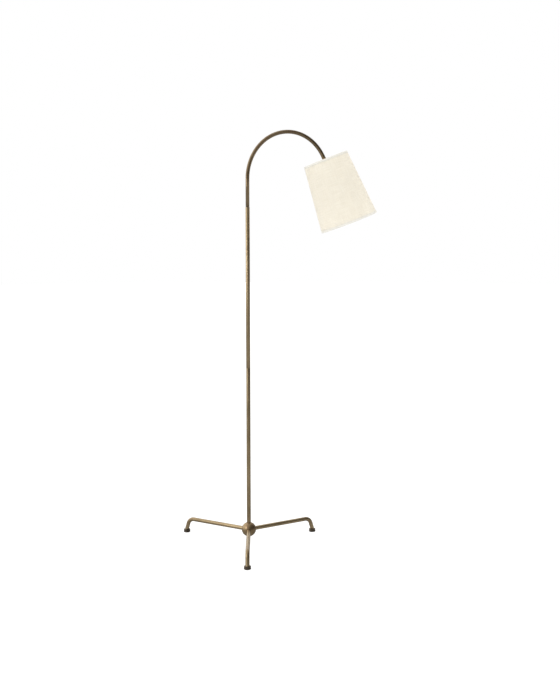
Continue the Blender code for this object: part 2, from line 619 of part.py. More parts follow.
def knuckle_half(name, frame):
    """Drum on the -Y side of the frame, with its neck and stub along +Z."""
    half = rod(name, DRUM_RADIUS, -DRUM_WIDTH - GAP / 2, -GAP / 2, frame, AGED,
               rotation=ACROSS, sides=WIDE_SIDES)
    # The neck starts inside the drum, clear of the bolt's boss.
    neck = rod(name + "_neck", NECK_RADIUS, DRUM_RADIUS / 2, NECK_END, frame, None)
    stub = rod(name + "_stub", STUB_RADIUS, NECK_END / 2, NECK_END + STUB_LENGTH, frame, None)
    boolean(half, neck, "UNION")
    boolean(half, stub, "UNION")
    other = rod(name + "_other_half_way", DRUM_RADIUS + GAP, -GAP / 2, 2 * DRUM_WIDTH, frame, None,
                rotation=ACROSS, sides=WIDE_SIDES)
    boolean(half, other)
    floor = -DRUM_WIDTH + DRUM_WALL
    pocket = tube(name + "_pocket", DRUM_POCKET, BOLT_BOSS, floor, DRUM_WIDTH, frame, None, rotation=ACROSS)
    boolean(half, pocket)
    bolt_way = rod(name + "_bolt_way", BOLT_RADIUS + GAP, -2 * DRUM_WIDTH, 2 * DRUM_WIDTH, frame, None,
                   rotation=ACROSS, sides=16)
    boolean(half, bolt_way)
    lead_way = rod(name + "_lead_way", LEAD_HOLE, DRUM_RADIUS / 2, 3 * NECK_END, frame, None,
                   location=(0, -LEAD_OFFSET, 0), sides=12)
    boolean(half, lead_way)
    return half


def knuckle_hardware(frame):
    """The bolt through both halves, which stays with the arm, with the spring washer and thumb nut on it."""
    face = DRUM_WIDTH + GAP / 2
    head = -face - GAP
    end = face + GAP + KNUCKLE_WASHER + GAP + THUMB_NUT_THICKNESS - BOLT_SETBACK
    r = BOLT_HEAD / 2
    profile = [(0, end), (BOLT_RADIUS, end), (BOLT_RADIUS, head), (BOLT_HEAD_RADIUS, head)]
    profile += arc(BOLT_HEAD_RADIUS - r, head - BOLT_HEAD + r, r, 0, -90, 3)
    profile += [(0, head - BOLT_HEAD)]
    turned("knuckle_bolt", profile, frame, STEEL, closed=False, rotation=ACROSS)
    washer = face + GAP
    tube("knuckle_spring_washer", BOLT_HEAD_RADIUS, BOLT_RADIUS + GAP, washer, washer + KNUCKLE_WASHER, frame,
         STEEL, rotation=ACROSS)
    foot = washer + KNUCKLE_WASHER + GAP
    nut("knuckle_thumb_nut", THUMB_NUT_RADIUS, THUMB_NUT_THICKNESS, BOLT_RADIUS + GAP,
        foot + THUMB_NUT_THICKNESS, frame, BRASS, rotation=ACROSS, corners=24)


head = empty("head_tilt", arm_from_floor, location=(TILT_X, 0, TILT_Z), rotation=(0, -HEAD_LEAN, 0))
head_turned_over = empty("head_knuckle", head, rotation=(math.pi, 0, 0))
knuckle_half("knuckle_upper", arm_end)
knuckle_half("knuckle_lower", head_turned_over)
knuckle_hardware(arm_end)


# Head: socket, switch and bulb, below the tilt axis along the head's own -Z

def socket():
    neck_bore = STUB_RADIUS + GAP
    wall = SOCKET_WALL
    dome = SOCKET_RADIUS - CAP_NECK_RADIUS
    shoulder = -CAP_TOP - CAP_NECK_LENGTH
    outside = [(CAP_NECK_RADIUS, -CAP_TOP)]
    outside += arc(CAP_NECK_RADIUS, shoulder - dome, dome, 90, 0, 4)
    inside = arc(CAP_NECK_RADIUS, shoulder - dome, dome - wall, 0, 90, 4)
    profile = [(neck_bore, -CAP_TOP), *outside, (SOCKET_RADIUS, -CAP_FOOT), (SOCKET_RADIUS - wall, -CAP_FOOT),
               *inside, (neck_bore, shoulder - wall)]
    cap = turned("socket_cap", profile, head, BRASS, sides=WIDE_SIDES)
    knob_way = rod("knob_way", KNOB_SHAFT + GAP, SWITCH_RADIUS / 2, 2 * SOCKET_RADIUS, head, None,
                   location=(0, 0, -KNOB_DROP), rotation=FORWARD, sides=14)
    boolean(cap, knob_way)
    body = rod("switch_body", SWITCH_RADIUS, -SWITCH_FOOT, -SWITCH_FOOT + SWITCH_HEIGHT, head, PLASTIC)
    boolean(body, knob_way)

    tube("socket_shell", SOCKET_RADIUS, SOCKET_RADIUS - wall, -SHELL_FOOT, -SHELL_TOP, head, BRASS,
         sides=WIDE_SIDES)
    ceramic = [(0, -SHELL_TOP), (INSULATOR_RADIUS, -SHELL_TOP), (INSULATOR_RADIUS, -INSULATOR_FOOT),
               (INSULATOR_BORE, -INSULATOR_FOOT), (INSULATOR_BORE, -INSULATOR_SEAT), (0, -INSULATOR_SEAT)]
    turned("socket_insulator", ceramic, head, PORCELAIN, closed=False, sides=WIDE_SIDES)
    tube("screw_shell", SCREW_SHELL_BORE + SCREW_SHELL_WALL, SCREW_SHELL_BORE,
         -SCREW_SHELL_TOP - SCREW_SHELL_LENGTH, -SCREW_SHELL_TOP, head, BRASS, sides=WIDE_SIDES)
    rod("centre_contact", CONTACT_RADIUS, -CONTACT_FOOT, -SCREW_SHELL_TOP, head, BRASS, sides=16)


def switch_knob():
    """The turn knob on its shaft. Its own origin is on the shaft's axis, which runs along -Y."""
    knob = empty("knob_turn", head, location=(0, 0, -KNOB_DROP), rotation=FORWARD)
    near = SOCKET_RADIUS + KNOB_STANDOFF
    far = near + KNOB_LENGTH
    r = KNOB_ROUND
    start = SWITCH_RADIUS / 2 + GAP
    profile = [(0, far), *arc(KNOB_RADIUS - r, far - r, r, 90, 0, 3), (KNOB_RADIUS, near), (KNOB_SHAFT, near),
               (KNOB_SHAFT, start), (0, start)]
    turned("switch_knob", profile, knob, PLASTIC, closed=False)


def bulb():
    """A pear-shaped lamp: a screw base open at its lip, and a glass shell whose neck sits in it."""
    base = LAMP_THREAD_RADIUS
    wall = LAMP_BASE_WALL
    tip = -LAMP_BASE_TOP - LAMP_TIP_LENGTH
    thread_top = tip - LAMP_TIP_SLOPE
    screw_base = [(0, -LAMP_BASE_TOP), (LAMP_TIP_RADIUS, -LAMP_BASE_TOP), (base - LAMP_TIP_SLOPE, tip),
                  (base, thread_top), (base, -LAMP_BASE_FOOT), (base - wall, -LAMP_BASE_FOOT),
                  (base - wall, thread_top - wall), (0, tip - wall)]
    turned("bulb_base", screw_base, head, STEEL, closed=False, sides=WIDE_SIDES)

    neck = base - wall - GAP
    top = -LAMP_BASE_FOOT + GLASS_IN_BASE
    lip = -LAMP_BASE_FOOT - GAP
    centre = -LAMP_BASE_FOOT - GLASS_LENGTH + GLASS_RADIUS
    inner = GLASS_RADIUS - GLASS_WALL
    cone_top = lip - GLASS_NECK_LENGTH
    wide = neck + GLASS_NECK_SPREAD
    outside = [(neck, top), (neck, lip), (wide, cone_top)]
    outside += arc(0, centre, GLASS_RADIUS, GLASS_SHOULDER, -90, 8)
    inside = arc(0, centre, inner, -90, GLASS_SHOULDER, 8)
    inside += [(wide - GLASS_WALL, cone_top), (neck - GLASS_WALL, lip), (neck - GLASS_WALL, top)]
    # The round end meets the axis twice, so each wall's last point is put on it.
    outside[-1] = (0, centre - GLASS_RADIUS)
    inside[0] = (0, centre - inner)
    turned("bulb_glass", outside + inside, head, GLASS, sides=WIDE_SIDES)


socket()
switch_knob()
bulb()


# Shade: linen on a stiff backing, taped round a wire ring at each rim, hung from a welded wire fitter

def shade_radius(height):
    """Outer radius of the linen at a height along the head's axis."""
    return SHADE_TOP_RADIUS + SHADE_SLOPE * (SHADE_TOP_RISE - height)


def linen_shade():
    top = SHADE_TOP_RISE - TRIM_OUTSIDE
    foot = -SHADE_FOOT + TRIM_OUTSIDE
    t = SHADE_THICKNESS
    profile = [(shade_radius(top), top), (shade_radius(foot), foot), (shade_radius(foot) - t, foot),
               (shade_radius(top) - t, top)]
    turned("linen_shade", profile, head, LINEN, sides=SHADE_SIDES)


def rim_tape(name, edge, inward):
    """A folded tape over one rim. inward is -1 at the top rim and +1 at the bottom one."""
    deep = edge + inward * TRIM_HEIGHT
    under = edge + inward * TRIM_THICKNESS
    over_linen = TRIM_OUTSIDE
    in_linen = SHADE_THICKNESS + GAP

    def at(height, offset):
        return (shade_radius(height) + offset, height)

    loop = [at(edge, over_linen), at(deep, over_linen), at(deep, GAP), at(under, GAP), at(under, -in_linen),
            at(deep, -in_linen), at(deep, -in_linen - TRIM_THICKNESS), at(edge, -in_linen - TRIM_THICKNESS)]
    if inward > 0:
        loop = loop[::-1]
    turned(name, loop, head, TAPE, sides=SHADE_SIDES)


def wire_ring_profile(radius, height):
    return [(radius + RIM_WIRE * math.cos(a), height + RIM_WIRE * math.sin(a))
            for a in (-2 * math.pi * i / WIRE_SIDES for i in range(WIRE_SIDES))]


def wire_seat(height):
    """Centre radius of a rim wire that lies inside the folded tape."""
    return shade_radius(height) - SHADE_THICKNESS - TRIM_OUTSIDE - GAP - RIM_WIRE - GAP


def shade_fitter():
    """Top wire ring, three spokes and the flat centre ring that the socket's ring nut clamps."""
    ring_height = SHADE_TOP_RISE - RIM_WIRE_SETBACK
    ring_radius = wire_seat(ring_height)
    ring = turned("shade_fitter", wire_ring_profile(ring_radius, ring_height), head, STEEL, sides=SHADE_SIDES)
    bore = SOCKET_RADIUS + GAP
    centre = tube("fitter_centre_ring", bore + FITTER_RING_WIDTH, bore,
                  -FITTER_TOP - FITTER_RING_THICKNESS, -FITTER_TOP, head, None, sides=WIDE_SIDES)
    boolean(ring, centre, "UNION")
    start_radius = bore + FITTER_RING_WIDTH / 2 + SPOKE_RADIUS / 2
    start_height = -FITTER_TOP - FITTER_RING_THICKNESS / 2
    run = ring_radius - start_radius
    rise = ring_height - start_height
    for i in range(3):
        turn = empty(f"spoke_{i + 1}_axis", head, rotation=(0, 0, math.radians(120 * i + 90)))
        spoke = rod(f"spoke_{i + 1}", SPOKE_RADIUS, 0, math.hypot(run, rise), turn, None, sides=10,
                    location=(start_radius, 0, start_height), rotation=(0, math.atan2(run, rise), 0))
        boolean(ring, spoke, "UNION")


linen_shade()
rim_tape("top_rim_tape", SHADE_TOP_RISE, -1)
rim_tape("bottom_rim_tape", -SHADE_FOOT, 1)
shade_fitter()
ring_level = -SHADE_FOOT + RIM_WIRE_SETBACK
turned("bottom_wire_ring", wire_ring_profile(wire_seat(ring_level), ring_level), head, STEEL,
       sides=SHADE_SIDES)
tube("shade_ring_nut", SOCKET_RADIUS + GAP + RING_NUT_WIDTH, SOCKET_RADIUS + GAP,
     -RING_NUT_TOP - RING_NUT_THICKNESS, -RING_NUT_TOP, head, PLASTIC, sides=WIDE_SIDES)
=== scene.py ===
"""Adjustable arm floor lamp: three legs on a brass ball, a slim pole, a gooseneck arm and a linen shade."""

import json
import math

import bmesh
import bpy
from mathutils import Matrix, Vector


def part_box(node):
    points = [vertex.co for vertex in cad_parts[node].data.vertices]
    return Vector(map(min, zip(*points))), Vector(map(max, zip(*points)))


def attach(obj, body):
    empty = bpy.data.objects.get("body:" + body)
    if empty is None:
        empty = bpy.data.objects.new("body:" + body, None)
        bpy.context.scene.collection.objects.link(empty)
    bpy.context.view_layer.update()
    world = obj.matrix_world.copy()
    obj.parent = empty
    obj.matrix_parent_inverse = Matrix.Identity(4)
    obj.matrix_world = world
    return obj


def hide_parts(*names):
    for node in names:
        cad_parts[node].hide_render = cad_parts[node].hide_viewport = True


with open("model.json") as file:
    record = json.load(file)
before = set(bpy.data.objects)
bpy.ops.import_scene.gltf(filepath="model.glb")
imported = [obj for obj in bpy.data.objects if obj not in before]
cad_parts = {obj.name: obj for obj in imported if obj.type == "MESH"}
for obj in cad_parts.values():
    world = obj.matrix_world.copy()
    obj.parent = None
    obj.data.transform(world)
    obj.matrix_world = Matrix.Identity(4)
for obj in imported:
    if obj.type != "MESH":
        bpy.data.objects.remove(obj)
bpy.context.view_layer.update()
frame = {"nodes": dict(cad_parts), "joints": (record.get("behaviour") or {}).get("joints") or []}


# Camera and studio. The lamp stands on a plain white floor, seen from a little above its middle.
# Even white light fills the room for the cloth. The metal mirrors a bright wall at its left and back,
# with dark cloths hung at the right and in front, and one softbox at the left.

CAMERA_DISTANCE = 3.942  # in front of the pole
CAMERA_HEIGHT = 1.3227
CAMERA_LENS = 53.2
CAMERA_RIGHT = 0.0800  # of the pole
AIM_RIGHT = 0.1225
AIM_HEIGHT = 0.770
FLOOR_RADIUS = 14.0
FLOOR_WHITE = 0.34
FLOOR_GLOW = 0.80  # toward the camera
FLOOR_BOUNCE = 0.66  # toward matte surfaces
SOFTBOX_PLACE = (-1.55, -0.95, 1.10)
SOFTBOX_WIDTH = 0.50
SOFTBOX_HEIGHT = 0.55
SOFTBOX_POWER = 4.5
FILL = 1.33
BRIGHT_SIDE = (-0.88, 0.42, 0.10)
BRIGHT_WALL = 1.45
DARK_CLOTH = 0.10
CLOTH_EDGE = -0.55  # along the bright side's direction, where the dark cloth begins to pale
WALL_EDGE = 0.90  # and where the bright wall is at its brightest

pole_low, pole_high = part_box("lower_pole")
AXIS = Vector(((pole_low.x + pole_high.x) / 2, (pole_low.y + pole_high.y) / 2, 0))

camera = bpy.data.objects.new("camera", bpy.data.cameras.new("camera"))
camera.data.lens = CAMERA_LENS
camera.location = (AXIS.x + CAMERA_RIGHT, AXIS.y - CAMERA_DISTANCE, CAMERA_HEIGHT)
aim = Vector((AXIS.x + AIM_RIGHT, AXIS.y, AIM_HEIGHT))
camera.rotation_euler = (aim - camera.location).to_track_quat("-Z", "Y").to_euler()
bpy.context.scene.collection.objects.link(camera)
bpy.context.scene.camera = camera
bpy.context.scene.view_settings.view_transform = "Standard"


def add(tree, kind, inputs=(), **settings):
    """A shader node with its settings, and its inputs given as values or as sockets to join."""
    node = tree.nodes.new("ShaderNode" + kind)
    for setting, value in settings.items():
        setattr(node, setting, value)
    for key, value in dict(inputs).items():
        if isinstance(value, bpy.types.NodeSocket):
            tree.links.new(value, node.inputs[key])
        else:
            node.inputs[key].default_value = value
    return node


def spread(tree, value, low, high, to_low, to_high):
    """A value taken from one range to another."""
    node = add(tree, "MapRange", {"Value": value, "From Min": low, "From Max": high,
                                  "To Min": to_low, "To Max": to_high})
    return node.outputs["Result"]


world = bpy.data.worlds.new("studio")
bpy.context.scene.world = world
world.use_nodes = True
room = world.node_tree
room.nodes.clear()
toward = add(room, "TexCoord").outputs["Generated"]
leftward = add(room, "VectorMath", {0: toward, 1: BRIGHT_SIDE}, operation="DOT_PRODUCT").outputs["Value"]
mirrored = spread(room, leftward, CLOTH_EDGE, WALL_EDGE, DARK_CLOTH, BRIGHT_WALL)
ray = add(room, "LightPath").outputs
walls = add(room, "Background", {"Color": (1.0, 0.985, 0.955, 1), "Strength": mirrored})
fill = add(room, "Background", {"Color": (1.0, 0.99, 0.97, 1), "Strength": FILL})
plain_white = add(room, "Background", {"Color": (1, 1, 1, 1), "Strength": 1.0})
lit = add(room, "MixShader", {0: ray["Is Glossy Ray"], 1: fill.outputs[0], 2: walls.outputs[0]})
both = add(room, "MixShader", {0: ray["Is Camera Ray"], 1: lit.outputs[0], 2: plain_white.outputs[0]})
add(room, "OutputWorld", {"Surface": both.outputs[0]})

shape = bmesh.new()
bmesh.ops.create_circle(shape, cap_ends=True, segments=96, radius=FLOOR_RADIUS)
floor_mesh = bpy.data.meshes.new("studio_floor")
shape.to_mesh(floor_mesh)
shape.free()
floor = bpy.data.objects.new("studio_floor", floor_mesh)
bpy.context.scene.collection.objects.link(floor)
floor_paint = bpy.data.materials.new("white_floor")
floor_paint.use_nodes = True
paint = floor_paint.node_tree
paint.nodes.clear()
matte = add(paint, "BsdfDiffuse", {"Color": (FLOOR_WHITE, FLOOR_WHITE, FLOOR_WHITE, 1)})
ray = add(paint, "LightPath").outputs
seen = spread(paint, ray["Is Camera Ray"], 0, 1, 0, FLOOR_GLOW)
bounced = spread(paint, ray["Is Diffuse Ray"], 0, 1, 0, FLOOR_BOUNCE)
glow = add(paint, "Emission", {"Strength": add(paint, "Math", {0: seen, 1: bounced}).outputs[0]})
surface = add(paint, "AddShader", {0: matte.outputs[0], 1: glow.outputs[0]})
add(paint, "OutputMaterial", {"Surface": surface.outputs[0]})
floor_mesh.materials.append(floor_paint)

softbox = bpy.data.lights.new("left_softbox", "AREA")
softbox.shape = "RECTANGLE"
softbox.size = SOFTBOX_WIDTH
softbox.size_y = SOFTBOX_HEIGHT
softbox.energy = SOFTBOX_POWER
light = bpy.data.objects.new("left_softbox", softbox)
light.location = SOFTBOX_PLACE
inward = Vector((AXIS.x, AXIS.y, light.location.z)) - light.location
light.rotation_euler = inward.to_track_quat("-Z", "Y").to_euler()
bpy.context.scene.collection.objects.link(light)


# Felt pads. A disc of dense felt is glued into the underside of each foot and stands just proud of it.
# The felt is brown-black, with a napped edge that is a little rounded.

SIDES = ("front", "right", "left")
PAD_SOFTNESS = 0.0005
SHARP_TURN = math.radians(25)  # a profile's corners past this are rounded


def facing(shape):
    """Merges what coincides and turns the faces outward."""
    bmesh.ops.remove_doubles(shape, verts=shape.verts, dist=1e-6)
    bmesh.ops.recalc_face_normals(shape, faces=shape.faces)


def piece(name, shape, body, slot, material, *nodes, sharp=40):
    """A finished mesh on its body, standing for the solids named."""
    facing(shape)
    mesh = bpy.data.meshes.new(name)
    shape.to_mesh(mesh)
    shape.free()
    mesh.shade_smooth()
    mesh.set_sharp_from_angle(angle=math.radians(sharp))
    mesh.materials.append(material)
    made = bpy.data.objects.new(name, mesh)
    bpy.context.scene.collection.objects.link(made)
    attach(made, body)
    if nodes:
        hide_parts(*nodes)
    return made


def turn_at(corner):
    """The angle by which a profile turns at a corner."""
    first, second = (edge.other_vert(corner).co - corner.co for edge in corner.link_edges)
    return math.pi - first.angle(second)


def rounded(shape, corners, radius):
    """Rounds some corners of a profile."""
    bmesh.ops.bevel(shape, geom=corners, offset=radius, offset_type="OFFSET", segments=3, profile=0.5,
                    affect="VERTICES", clamp_overlap=True, material=-1)


def spun(shape, steps):
    """Spins a profile right round Z."""
    bmesh.ops.spin(shape, geom=shape.verts[:] + shape.edges[:], cent=(0, 0, 0), axis=(0, 0, 1),
                   angle=math.tau, steps=steps, use_merge=True, use_duplicate=False)
    facing(shape)


def turned(profile, soften=0.0, steps=64, place=None):
    """A solid spun about Z from a profile of (radius, height) corners, whose sharp ones are rounded."""
    shape = bmesh.new()
    corners = [shape.verts.new((radius, 0, height)) for radius, height in profile]
    pairs = list(zip(corners, corners[1:]))
    on_axis = profile[0][0] == 0 and profile[-1][0] == 0
    if not on_axis:
        pairs.append((corners[-1], corners[0]))
    for pair in pairs:
        shape.edges.new(pair)
    if soften:
        hard = [v for v in corners if len(v.link_edges) == 2 and abs(turn_at(v)) > SHARP_TURN]
        rounded(shape, hard, soften)
    spun(shape, steps)
    if place is not None:
        bmesh.ops.transform(shape, matrix=place, verts=shape.verts)
    return shape


def disc_profile(radius, top, foot):
    return [(0, top), (radius, top), (radius, foot), (0, foot)]


def surface_of(name):
    """A new material with its node tree and its shader."""
    material = bpy.data.materials.new(name)
    material.use_nodes = True
    return material, material.node_tree, material.node_tree.nodes["Principled BSDF"]


def wired(tree, shader, colour=None, roughness=None, bump=None, bump_depth=0.0002, **values):
    """Joins what varies to the shader, and sets what is the same all over on its own sockets."""
    if colour is not None:
        tree.links.new(colour, shader.inputs["Base Color"])
    if roughness is not None:
        tree.links.new(roughness, shader.inputs["Roughness"])
    if bump is not None:
        normal = add(tree, "Bump", {"Height": bump, "Strength": 1.0, "Distance": bump_depth})
        tree.links.new(normal.outputs["Normal"], shader.inputs["Normal"])
    for key, value in values.items():
        shader.inputs[key.replace("_", " ").title()].default_value = value


def noise(tree, where, scale, detail=3.0, roughness=0.55):
    node = add(tree, "TexNoise", {"Vector": where, "Scale": scale, "Detail": detail,
                                  "Roughness": roughness})
    return node.outputs["Fac"]


def placed(tree, where, scale=(1, 1, 1), location=(0, 0, 0)):
    return add(tree, "Mapping", {"Vector": where, "Scale": scale, "Location": location}).outputs["Vector"]


def mixed(tree, share, colour, over):
    """A plain colour laid over a varying one, by a share from 0 to 1."""
    return add(tree, "Mix", {0: share, 6: colour, 7: (*over, 1)}, data_type="RGBA").outputs[2]


def ramp(tree, factor, *stops):
    """A colour ramp through (position, colour) stops."""
    node = add(tree, "ValToRGB", {"Fac": factor})
    band = node.color_ramp.elements
    while len(band) < len(stops):
        band.new(0.5)
    for element, (position, colour) in zip(band, stops):
        element.position = position
        element.color = (*colour, 1)
    return node.outputs["Color"]


def felt_look():
    """Short brown-black fibres in soft tufts."""
    material, tree, shader = surface_of("brown_felt")
    where = add(tree, "TexCoord").outputs["Object"]
    fibres = noise(tree, where, 2600, 5, 0.7)
    tufts = noise(tree, where, 420, 2)
    colour = ramp(tree, fibres, (0.3, (0.022, 0.018, 0.015)), (0.7, (0.085, 0.070, 0.058)))
    colour = mixed(tree, spread(tree, tufts, 0.35, 0.7, 0, 0.5), colour, (0.05, 0.043, 0.036))
    wired(tree, shader, colour, bump=fibres, bump_depth=0.0003, sheen_weight=0.35, sheen_roughness=0.6)
    shader.inputs["Roughness"].default_value = 0.95
    return material


felt = felt_look()
feet = {}
for side in SIDES:
    low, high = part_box(f"{side}_foot_pad")
    centre = (low + high) / 2
    radius = (high.x - low.x) / 2
    feet[side] = centre
    place = Matrix.Translation((centre.x, centre.y, 0))
    shape = turned(disc_profile(radius, high.z, 0), PAD_SOFTNESS, place=place)
    piece(f"{side}_felt_pad", shape, "base", "felt", felt, f"{side}_foot_pad")


# Foot caps. Each is turned from brass bar with two beads and a line between them, and bored on the slant
# for the leg. All the outer brass is antiqued: browned, rubbed back to a soft sheen and lacquered.

CAP_LINE_DEPTH = 0.0007
CAP_LINE_MOUTH = 0.0036
CAP_LINE_FLOOR = 0.0016
CAP_EDGE = 0.0005
PAD_WALL = 0.00155  # of brass round the felt
PAD_WELL_TOP = 0.0023  # over the floor


def edge_of(radius, face, *steps):
    """The shaped edge of a turned face, by steps of (in from the side, up from the face)."""
    return [(radius - inward, face + upward) for inward, upward in steps]


def line_round(radius, level, depth, mouth, floor):
    """A turned line in a profile that runs downward."""
    return [(radius, level + mouth / 2), (radius - depth, level + floor / 2),
            (radius - depth, level - floor / 2), (radius, level - mouth / 2)]


def antique_look(name, follows=None, streaks=0.35, copper=0.45, tone=(1.0, 1.0, 1.0)):
    """Browned brass. follows names an attribute that holds a bent tube's places as if it were straight."""

    def toned(red, green, blue):
        return (red * tone[0], green * tone[1], blue * tone[2])

    material, tree, shader = surface_of(name)
    if follows:
        where = add(tree, "Attribute", attribute_name=follows).outputs["Vector"]
    else:
        where = add(tree, "TexCoord").outputs["Object"]
    clouds = noise(tree, placed(tree, where, (1, 1, 0.45)), 26, 4, 0.6)
    stains = noise(tree, placed(tree, where, (1, 1, 0.6), (3.1, 1.7, 0.4)), 48, 3, 0.65)
    grain = noise(tree, placed(tree, where, (1, 1, 0.035)), 1500, 3, 0.6)
    mottle = noise(tree, where, 210, 4, 0.7)
    specks = noise(tree, placed(tree, where, (1, 1, 1), (0.7, 0.2, 5.0)), 900, 2)
    colour = ramp(tree, clouds, (0.32, toned(0.175, 0.124, 0.063)), (0.50, toned(0.335, 0.250, 0.139)),
                  (0.70, toned(0.470, 0.364, 0.222)))
    colour = mixed(tree, spread(tree, stains, 0.48, 0.66, 0, copper), colour, toned(0.300, 0.185, 0.118))
    colour = mixed(tree, spread(tree, mottle, 0.40, 0.72, 0, 0.55), colour, toned(0.150, 0.113, 0.063))
    colour = mixed(tree, spread(tree, grain, 0.35, 0.65, 0, streaks), colour, toned(0.560, 0.440, 0.268))
    colour = mixed(tree, spread(tree, specks, 0.66, 0.74, 0, 0.8), colour, toned(0.070, 0.052, 0.032))
    worn = spread(tree, add(tree, "NewGeometry").outputs["Pointiness"], 0.52, 0.58, 0, 0.55)
    colour = mixed(tree, worn, colour, toned(0.640, 0.500, 0.300))
    rough = spread(tree, mottle, 0.3, 0.75, 0.26, 0.44)
    height = add(tree, "Math", {0: grain, 1: mottle}).outputs[0]
    wired(tree, shader, colour, rough, height, 0.00006, metallic=1.0, coat_weight=0.22, coat_roughness=0.16)
    return material


antique = antique_look("antique_brass")
# The feet take a darker, cooler copy of the antique brass: painted shade standing for the dark floor that
# the caps mirror.
shaded_foot_brass = antique_look("antique_foot_shaded", streaks=0.2, tone=(0.34, 0.36, 0.46))
for side in SIDES:
    low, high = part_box(f"{side}_foot_cap")
    radius = (high.y - low.y) / 2
    middle = (low.z + high.z) / 2
    well = radius - PAD_WALL
    profile = [(0, high.z), *edge_of(radius, high.z, (0.0030, 0), (0.0022, -0.0006), (0, -0.0016)),
               *line_round(radius, middle, CAP_LINE_DEPTH, CAP_LINE_MOUTH, CAP_LINE_FLOOR),
               (radius, low.z), (well, low.z), (well, PAD_WELL_TOP), (0, PAD_WELL_TOP)]
    place = Matrix.Translation((feet[side].x, feet[side].y, 0))
    piece(f"{side}_foot", turned(profile, CAP_EDGE, place=place), "base", "aged_brass", shaded_foot_brass,
          f"{side}_foot_cap")


# Legs. Solid brass rod, bent down over a former near its end and let into its foot and into the ball,
# where a grub screw from below holds it.

LEG_RADIUS = 0.00795
LEG_HEIGHT = 0.0575  # of the rod's level stretch and of the ball's centre
LEG_CORNER = 0.2813  # from the pole's axis to where the two straight stretches would meet
LEG_BEND = 0.028
LEG_LEAN = math.radians(17.5)
LEG_START = 0.0136
LEG_END = 0.0063
BEND_STEPS = 20
TUBE_SIDES = 48


def bent_tube(path, radius, ends=True):
    """A round tube along a path in the XZ plane, of (x, z, turn about Y) stations. Each vertex keeps its
    place on the tube as if it were straight, in the attribute named straight."""
    shape = bmesh.new()
    straight = shape.verts.layers.float_vector.new("straight")
    stands = [Matrix.Translation((x, 0, z)) @ Matrix.Rotation(turn, 4, "Y") for x, z, turn in path]
    ring = bmesh.ops.create_circle(shape, cap_ends=False, segments=TUBE_SIDES, radius=radius)["verts"]
    bmesh.ops.transform(shape, matrix=stands[0], verts=ring)
    run = 0.0
    for here, there in zip([stands[0]] + stands, stands):
        if there is not here:
            rim = {edge for vertex in ring for edge in vertex.link_edges if not edge.is_contiguous}
            rim = [edge for edge in rim if all(vertex in ring for vertex in edge.verts)]
            grown = bmesh.ops.extrude_edge_only(shape, edges=rim)["geom"]
            ring = [item for item in grown if isinstance(item, bmesh.types.BMVert)]
            bmesh.ops.transform(shape, matrix=there @ here.inverted(), verts=ring)
            run += (there.translation - here.translation).length
        back = there.inverted()
        for vertex in ring:
            on_ring = back @ vertex.co
            vertex[straight] = (on_ring.x, on_ring.y, run)
    if ends:
        bmesh.ops.holes_fill(shape, edges=shape.edges, sides=0)
    return shape


def leg_path():
    """Level, round the bend, and down into the foot."""
    trim = LEG_BEND * math.tan((math.pi / 2 - LEG_LEAN) / 2)
    level = math.pi / 2
    path = [(LEG_START, LEG_HEIGHT, level)]
    for i in range(BEND_STEPS + 1):
        angle = (math.pi / 2 - LEG_LEAN) * i / BEND_STEPS
        path.append((LEG_CORNER - trim + LEG_BEND * math.sin(angle),
                     LEG_HEIGHT - LEG_BEND * (1 - math.cos(angle)), level + angle))
    foot_reach = LEG_CORNER + (LEG_HEIGHT - LEG_END) * math.tan(LEG_LEAN)
    path.append((foot_reach, LEG_END, math.pi - LEG_LEAN))
    return path


rod = antique_look("antique_rod", follows="straight")
for side in SIDES:
    out = feet[side] - AXIS
    azimuth = math.atan2(out.y, out.x)
    shape = bent_tube(leg_path(), LEG_RADIUS)
    outward = Matrix.Translation(AXIS) @ Matrix.Rotation(azimuth, 4, "Z")
    bmesh.ops.transform(shape, matrix=outward, verts=shape.verts)
    piece(f"{side}_bent_leg", shape, "base", "aged_brass", rod, f"{side}_leg")


# Ball hub. A cast brass ball bored for the legs and the pole, with the wiring chamber and the cord's inlet
# in it. A domed cap closes the chamber, and a rubber bush lines the inlet at the back.

HUB_RADIUS = 0.0284
HUB_TURN = math.radians(0.9)  # keeps the ball's own edges off the edges of the cuts
CLEARANCE = 0.0003
POLE_SEAT = 0.0095  # down from the ball's top
CHAMBER_RADIUS = 0.0120
CHAMBER_TOP = -0.0085  # from the ball's centre
INLET_BORE = 0.0035
INLET_WALL = 0.0010
INLET_FLANGE = 0.0058
INLET_FLANGE_THICKNESS = 0.0017
INLET_WAY_START = 0.006
INLET_EASE = 0.0005
GRUB_REACH = 0.0203
GRUB_HOLE = 0.0023
GRUB_HOLE_STEPS = 24
BOTTOM_CAP_THICKNESS = 0.0016
BOTTOM_CAP_SKIRT = 0.0030
DOME_STEPS = 12
FINE_EASE = 0.0002

hub_middle = AXIS + Vector((0, 0, LEG_HEIGHT))
beyond = 2 * HUB_RADIUS


def tooled(made, name, shape, operation="DIFFERENCE"):
    """Sets a shape to be cut out of a piece, or joined on, and gives back the shape's object."""
    facing(shape)
    mesh = bpy.data.meshes.new(name)
    shape.to_mesh(mesh)
    shape.free()
    tool = bpy.data.objects.new(name, mesh)
    bpy.context.scene.collection.objects.link(tool)
    step = made.modifiers.new(name, "BOOLEAN")
    step.operation = operation
    step.object = tool
    return tool


def apply_tools(made, tools):
    """Makes the cuts and joins for good."""
    graph = bpy.context.evaluated_depsgraph_get()
    result = bpy.data.meshes.new_from_object(made.evaluated_get(graph))
    made.modifiers.clear()
    made.data = result
    for tool in tools:
        bpy.data.objects.remove(tool)


